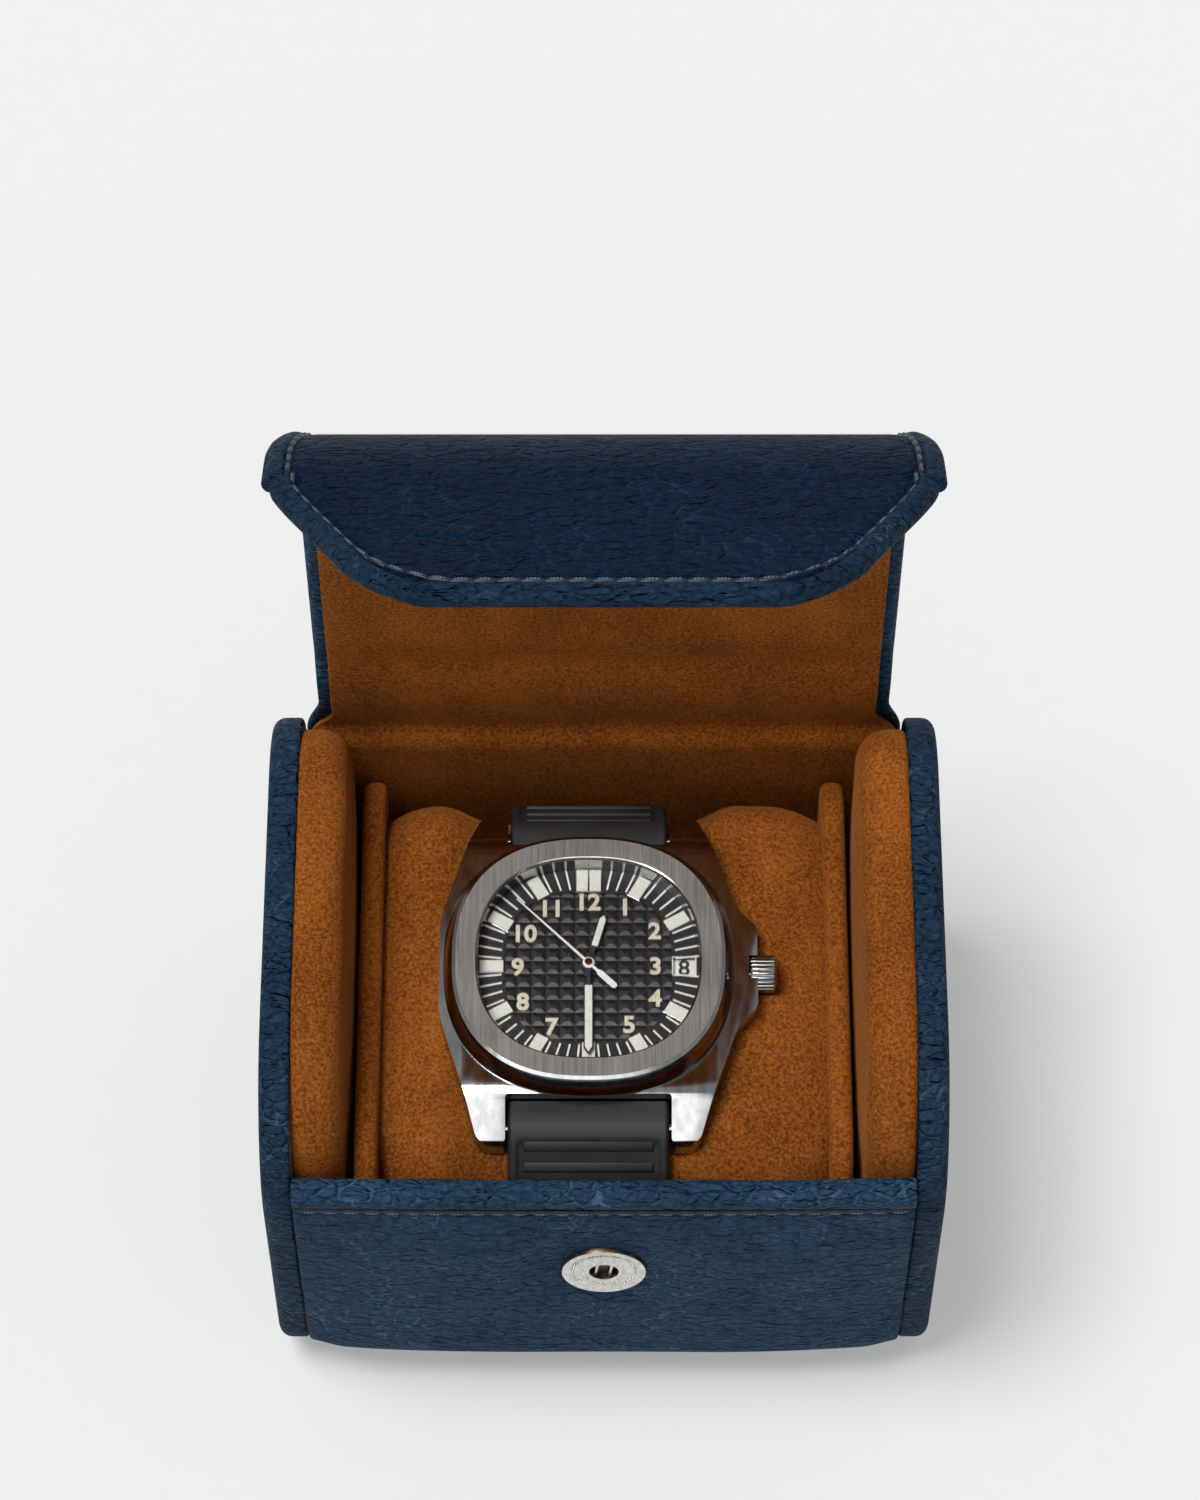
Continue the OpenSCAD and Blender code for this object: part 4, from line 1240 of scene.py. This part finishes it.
# thin frame round a window
def turnedFrame(name, x0, x1, y0, y1, wide, z, thick):
    bars = []
    for points in (((x0, y0), (x1, y0), (x1, y0 + wide), (x0, y0 + wide)),
                   ((x0, y1 - wide), (x1, y1 - wide), (x1, y1), (x0, y1)),
                   ((x0, y0), (x0 + wide, y0), (x0 + wide, y1), (x0, y1)),
                   ((x1 - wide, y0), (x1, y0), (x1, y1), (x1 - wide, y1))):
        bars.append(plate("bar", points, z, thick, 0.03))
    return joined(name, bars)


def makeHand(name, node, level, direction, reach, wide, lumeFrom, body):
    angle = math.radians(90 - direction)

    def outline(w, tip, start):
        shape = ((start, -w), (tip - 1.5 * w, -w), (tip, 0), (tip - 1.5 * w, w), (start, w))
        return [turnedPoint(x, y, angle) for x, y in shape]
    end, thin = lumeFrom + 0.2, 0.28
    stalk = [turnedPoint(x, y, angle) for x, y in ((-1.6, -thin), (end, -thin), (end, thin), (-1.6, thin))]
    blade = plate(name + "Blade", outline(wide / 2, reach, lumeFrom - 0.25), level, 0.16, 0.04)
    arm = plate(name + "Arm", stalk, level, 0.14, 0.04)
    inner, outer, upper = 0.62, 1.1, level + 0.16
    hub = turnedRing(name + "Hub", [(inner, level), (outer, level), (outer, upper), (inner, upper), (inner, level)], 32)
    steel = joined(name + "Frame", [blade, arm, hub])
    finish(toWatch(steel), inkBlack, body, "lume", node)
    fill = plate(name + "Lume", outline(wide / 2 - 0.17, reach - 0.4, lumeFrom), level + 0.1, 0.12, 0.03)
    finish(toWatch(fill), lume, body, "lume")


def makeSecondsHand():
    level = nodeBox("seconds_hand")[0][2]
    angle = math.radians(90 - 315)
    reach = 13.4
    blade = [turnedPoint(x, y, angle) for x, y in ((0.5, -0.17), (reach, -0.07), (reach, 0.07), (0.5, 0.17))]
    needle = plate("needle", blade, level, 0.12, 0)
    weight = ((-0.5, 0.17), (-1.6, 0.2), (-2.1, 0.42), (-4.8, 0.42), (-5.1, 0.25), (-5.1, -0.25), (-4.8, -0.42),
              (-2.1, -0.42), (-1.6, -0.2), (-0.5, -0.17))
    tail = plate("tail", [turnedPoint(x, y, angle) for x, y in weight], level, 0.12, 0.04)
    hub = turnedRing("hub", [(0.25, level - 0.02), (0.78, level - 0.02), (0.78, level + 0.14), (0.66, level + 0.22),
                             (0.25, level + 0.22), (0.25, level - 0.02)], 40)
    hand = toWatch(joined("secondsHand", [needle, tail, hub]))
    finish(hand, whitePaint, "seconds_hand", "white_metal", "seconds_hand")


def makeCrown():
    low, high = nodeBox("crown")
    midY, midZ, r = (low[1] + high[1]) / 2, (low[2] + high[2]) / 2, (high[2] - low[2]) / 2
    flutes, sides = 22, 176
    deselectAll()
    bpy.ops.mesh.primitive_circle_add(vertices=sides, radius=r * 0.8 * mm, fill_type="NGON")
    crown = settle(added("crownFluted"))
    edit(crown, "FACE")
    bpy.ops.mesh.select_all(action="SELECT")
    for rise, scale in ((0.0, 1.18), (0.35, 1.059), (2.6, 1.0), (0.3, 0.93), (0.15, 0.8), (0.0, 0.6)):
        bpy.ops.mesh.extrude_region_move(TRANSFORM_OT_translate={"value": (0, 0, rise * mm)})
        bpy.ops.transform.resize(value=(scale, scale, 1), center_override=(0, 0, 0))
    done()

    def flute(x, y, z):
        reach = math.hypot(x, y)
        angle = math.atan2(y, x)
        if reach > 0.93 * r and 0.2 < z < 3.2:
            wave = abs(math.cos(flutes * angle / 2)) ** 0.6
            k = 1 - 0.085 * (1 - wave)
            x, y = x * k, y * k
        return (z, x, y)
    reshaped(crown, flute)
    for v in crown.data.vertices:
        v.co += Vector((low[0], midY, midZ)) * mm
    normalsOut(crown)
    bevelled(crown, 0.04, 1, 50)
    finish(smooth(crown, 40), polishedSteel, "crown", "steel", "crown")


strapLook = {"thick": 2.6, "radius": 6, "recess": 0.32, "border": 1.5, "rib": 8.6, "pitch": 2.75, "smoothEnd": 6.2}


# inner and outer run of the strap round the cushion, measured from the watch's axis
def strapPath(out):
    low, high = nodeBox("strap_front")
    y0 = low[1] + strapLook["thick"] - out - watchY
    z0 = low[2] + strapLook["thick"] - out
    return y0, -y0, z0, backPlate[0][2] - 0.2 + out, strapLook["radius"] + out


def makeStrap(side):
    name = "strapRear" if side > 0 else "strapFront"
    node = "strap_rear" if side > 0 else "strap_front"
    y0, y1, z0, top, r = strapPath(2.6)
    start = linePath((0.15, z0), (y1 - r, z0), 1.0)
    around = arcPath(y1 - r, z0 + r, r, -90, 0, 0.8)
    up = linePath((y1, z0 + r), (y1, top - r), 1.0)
    bend = arcPath(y1 - r, top - r, r, 0, 58, 0.6)
    barHigh = nodeBox("rear_spring_bar")
    barY, barZ = (barHigh[0][1] + barHigh[1][1]) / 2 - watchY, (barHigh[0][2] + barHigh[1][2]) / 2
    ends = [(barY + 2.9, barZ + 1.1), (barY + 1.9, barZ + 1.9), (barY + 0.6, barZ + 2.5), (barY - 0.9, barZ + 2.65),
            (barY - 2.7, barZ + 2.6)]
    path = chain(start, around, up, bend)
    for end in ends:
        path = chain(path, linePath(path[-1], end, 0.5))
    box = nodeBox(node)
    wide = (box[1][0] - box[0][0]) / 2
    total = lengths(path)[-1]

    def recess(edge, s):
        inside = eased((total - strapLook["smoothEnd"] + 1 - s) / 0.8)
        return -strapLook["recess"] * eased((edge - strapLook["border"] + 0.5) / 0.5) * inside
    strap = rolledSheet(name, path, lambda s: wide, strapLook["thick"], 0.55, 60, False, recess)
    ribs = []
    along = lengths(path)
    pitch, first = strapLook["pitch"], strapLook["smoothEnd"]
    for i in range(int((total - first - 4) / pitch)):
        s = total - first - i * pitch
        k = max(j for j in range(len(along) - 1) if along[j] <= s)
        p, q = path[k], path[k + 1]
        length = math.dist(p, q)
        t = (s - along[k]) / length
        y, z = p[0] + (q[0] - p[0]) * t, p[1] + (q[1] - p[1]) * t
        out = ((q[1] - p[1]) / length, -(q[0] - p[0]) / length)
        way = ((q[0] - p[0]) / length, (q[1] - p[1]) / length)
        deselectAll()
        bpy.ops.mesh.primitive_cube_add(size=1)
        rib = added("rib")
        for v in rib.data.vertices:
            a = math.copysign(strapLook["rib"], v.co.x)
            b = math.copysign(0.85, v.co.y)
            c = 0.04 if v.co.z > 0 else -0.7
            if c > 0:
                a, b = a * 0.975, b * 0.7
            v.co = Vector((a, y + way[0] * b + out[0] * c, z + way[1] * b + out[1] * c)) * mm
        ribs.append(rib)
    ribSet = joined(name + "Ribs", ribs)
    bevelled(ribSet, 0.14, 2, 30)
    strap = joined(name, [strap, ribSet])
    if side < 0:
        for v in strap.data.vertices:
            v.co.y *= -1
        edit(strap, "FACE")
        bpy.ops.mesh.select_all(action="SELECT")
        bpy.ops.mesh.flip_normals()
        done()
    normalsOut(strap)
    finish(toWatch(smooth(strap, 40)), rubber, watchBody, "strap_rubber", node)


makeWatchHead()
makeDialWork()
makeNumerals()
makeHand("hourHand", "hour_hand", nodeBox("hour_hand")[0][2], 15.5, 8, 1.15, 2.9, "hour_hand")
makeHand("minuteHand", "minute_hand", nodeBox("minute_hand")[0][2], 180, 13.3, 1.3, 3.2, "minute_hand")
makeSecondsHand()
makeCrown()
makeStrap(1)
makeStrap(-1)
print("watch made")

snapLook = {"dots": 46, "dotRing": 4.1, "innerDots": 22, "innerRing": 2.62, "proud": -0.12, "wire": 0.28, "lean": 4}


# press-stud socket: beaded rim, raised inner ring and the two spring wires in its dark well
def makeSnap():
    r, faceY = (socketBox[1][2] - socketBox[0][2]) / 2, socketBox[0][1] - snapLook["proud"]
    steps = [(3.3, -1.9), (r - 0.5, -1.9), (r - 0.1, -1.5), (r, -1.1), (r, -0.5), (r - 0.12, -0.16), (r - 0.42, 0),
             (r - 0.75, -0.03), (r - 1.0, -0.2), (3.3, -0.28), (2.95, -0.16), (2.6, -0.02), (2.2, -0.04), (1.95, -0.2),
             (1.9, -0.5), (1.9, -1.15), (0.3, -1.15)]
    socket = turnedRing("snapSocket", steps, 96, None, False)
    beads = []
    for count, ring, size in ((snapLook["dots"], snapLook["dotRing"], 0.17),
                              (snapLook["innerDots"], snapLook["innerRing"], 0.13)):
        for i in range(count):
            a = 2 * math.pi * i / count
            deselectAll()
            bpy.ops.mesh.primitive_uv_sphere_add(segments=8, ring_count=6, radius=size * mm)
            dot = added("dot")
            for v in dot.data.vertices:
                v.co += Vector((ring * math.cos(a), ring * math.sin(a), -0.2 if ring > 3 else -0.03)) * mm
            beads.append(dot)
    socket.data.materials.clear()
    socket.data.materials.append(nickel)
    socket.data.materials.append(darkWellNickel)
    # the deep faces at the well's wall and round its centre take the darker brown nickel
    for face in socket.data.polygons:
        reach = math.hypot(face.center.x, face.center.y) / mm
        face.material_index = 1 if face.center.z < -0.3 * mm and (reach > r - 0.6 or reach < 2) else 0
    smooth(socket, 40)
    beads = smooth(joined("beads", beads), 60)
    beads.data.materials.clear()
    beads.data.materials.append(nickel)
    wires = []
    for side in (-1, 1):
        deselectAll()
        bpy.ops.mesh.primitive_cylinder_add(vertices=16, radius=snapLook["wire"] * mm, depth=3.5 * mm,
                                            location=(side * 0.95 * mm, 0, -0.75 * mm),
                                            rotation=(math.radians(90), 0, 0))
        wire = settle(added("wire"))
        bevelled(wire, 0.1, 2, 40)
        for v in wire.data.vertices:
            v.co.x += 0.12 * v.co.y
        wires.append(wire)
    wires = smooth(joined("wires", wires), 50)
    wires.data.materials.append(nickel)
    socket = joined("snapSocket", [socket, beads, wires])
    lean = math.radians(snapLook["lean"])
    for v in socket.data.vertices:
        out, up = v.co.z, v.co.y
        v.co = Vector((v.co.x, faceY * mm - out * math.cos(lean) + up * math.sin(lean),
                       snapZ * mm + up * math.cos(lean) + out * math.sin(lean)))
    settle(socket)
    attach(socket, "case")
    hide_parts("snap_socket", "snap_spring")


makeSnap()


# the nodes that keep their CAD shape get their finish
finishes = {
    "left_side_board": fibreboard, "right_side_board": fibreboard, "front_board": fibreboard, "base_board": fibreboard,
    "back_board": fibreboard, "lid_board": fibreboard, "flap_board": fibreboard,
    "socket_eyelet": nickel, "snap_stud": nickel, "stud_rivet": nickel,
    "case_back": brushedSteel, "winding_stem": polishedSteel, "rear_spring_bar": polishedSteel,
    "front_spring_bar": polishedSteel, "strap_clasp": brushedSteel, "centre_arbor": polishedSteel,
    "movement": brass, "dial": hobnail, "chapter_ring": trackBlack, "date_wheel": whitePaint}
for node, material in finishes.items():
    obj = frame["nodes"][node]
    if not obj.material_slots:
        obj.data.materials.append(material)
    for materialSlot in obj.material_slots:
        materialSlot.material = material
print("finishes given")


# floor, light and camera
studio = {"horizon": 0.12, "above": 0.4, "front": 0.14, "sun": 2.4, "sunAngle": 25, "elevation": 72, "turn": 6,
          "floor": 0.8, "floorSeen": 0.53, "floorGlow": 0.295, "softBox": 2.0, "lens": 118.06}


def makeStudio():
    deselectAll()
    bpy.ops.mesh.primitive_plane_add(size=4, location=(0, 0, 0))
    floor = added("studioFloor")
    s = Shader("floorPaper", Roughness=0.9)
    s.shader.inputs["Specular IOR Level"].default_value = 0
    grain = s.noise(300, 2)
    path = s.node("LightPath")
    seen = s.maths("MAXIMUM", s.maths("MAXIMUM", path.outputs["Is Camera Ray"], path.outputs["Is Glossy Ray"]),
                   path.outputs["Is Transmission Ray"])
    tone = s.mapped(seen, studio["floor"], studio["floorSeen"])
    tone = s.maths("MULTIPLY", tone, s.mapped(grain.outputs["Fac"], 0.996, 1.004, 0.3, 0.7))
    colour = s.node("CombineColor", None, {"Red": tone, "Green": tone, "Blue": tone})
    s.shader.inputs["Emission Color"].default_value = (1, 1, 1, 1)
    s.feed(Base_Color=colour.outputs[0], Emission_Strength=s.maths("MULTIPLY", seen, studio["floorGlow"]))
    floor.data.materials.append(s.material)
    world = bpy.data.worlds.new("studioWorld")
    bpy.context.scene.world = world
    world.use_nodes = True
    background = world.node_tree.nodes["Background"]
    background.inputs["Color"].default_value = (1, 1, 1, 1)
    nodes, links = world.node_tree.nodes, world.node_tree.links
    coords = nodes.new("ShaderNodeTexCoord")
    axes = nodes.new("ShaderNodeSeparateXYZ")
    links.new(coords.outputs["Generated"], axes.inputs[0])
    total = nodes.new("ShaderNodeMath")   # soft boxes hang above and on the camera's side, the far horizon is dim
    for i, (axis, end, low, high) in enumerate((("Z", 0.75, studio["horizon"], studio["above"]),
                                                ("Y", -1, 0, studio["front"]))):
        level = nodes.new("ShaderNodeMapRange")
        for key, value in (("From Min", 0), ("From Max", end), ("To Min", low), ("To Max", high)):
            level.inputs[key].default_value = value
        links.new(axes.outputs[axis], level.inputs["Value"])
        links.new(level.outputs["Result"], total.inputs[i])
    facing = nodes.new("ShaderNodeVectorMath")   # metal also shows a white box behind the camera
    facing.operation = "DOT_PRODUCT"
    facing.inputs[1].default_value = (-0.15, -0.5, 0.85)
    links.new(coords.outputs["Generated"], facing.inputs[0])
    box = nodes.new("ShaderNodeMapRange")
    for key, value in (("From Min", 0.86), ("From Max", 0.96), ("To Min", 0), ("To Max", studio["softBox"])):
        box.inputs[key].default_value = value
    links.new(facing.outputs["Value"], box.inputs["Value"])
    path = nodes.new("ShaderNodeLightPath")
    seen, strength = nodes.new("ShaderNodeMath"), nodes.new("ShaderNodeMath")
    seen.operation = "MULTIPLY"
    links.new(box.outputs["Result"], seen.inputs[0])
    links.new(path.outputs["Is Glossy Ray"], seen.inputs[1])
    links.new(total.outputs[0], strength.inputs[0])
    links.new(seen.outputs[0], strength.inputs[1])
    links.new(strength.outputs[0], background.inputs["Strength"])
    deselectAll()
    bpy.ops.object.light_add(type="SUN", location=(-1, 0, 2))
    sun = bpy.context.active_object
    sun.data.energy = studio["sun"]
    sun.data.angle = math.radians(studio["sunAngle"])
    tilt = math.radians(90 - studio["elevation"])
    sun.rotation_euler = (0, -tilt, math.radians(studio["turn"]))
    bpy.ops.object.camera_add(location=(-0.5 * mm, -0.29925, 0.6266), rotation=(math.radians(30), 0, 0))
    camera = bpy.context.active_object
    camera.data.lens = studio["lens"]
    camera.data.sensor_width = 36
    camera.data.clip_start = 0.01
    bpy.context.scene.camera = camera
    bpy.context.scene.view_settings.view_transform = "Standard"


makeStudio()
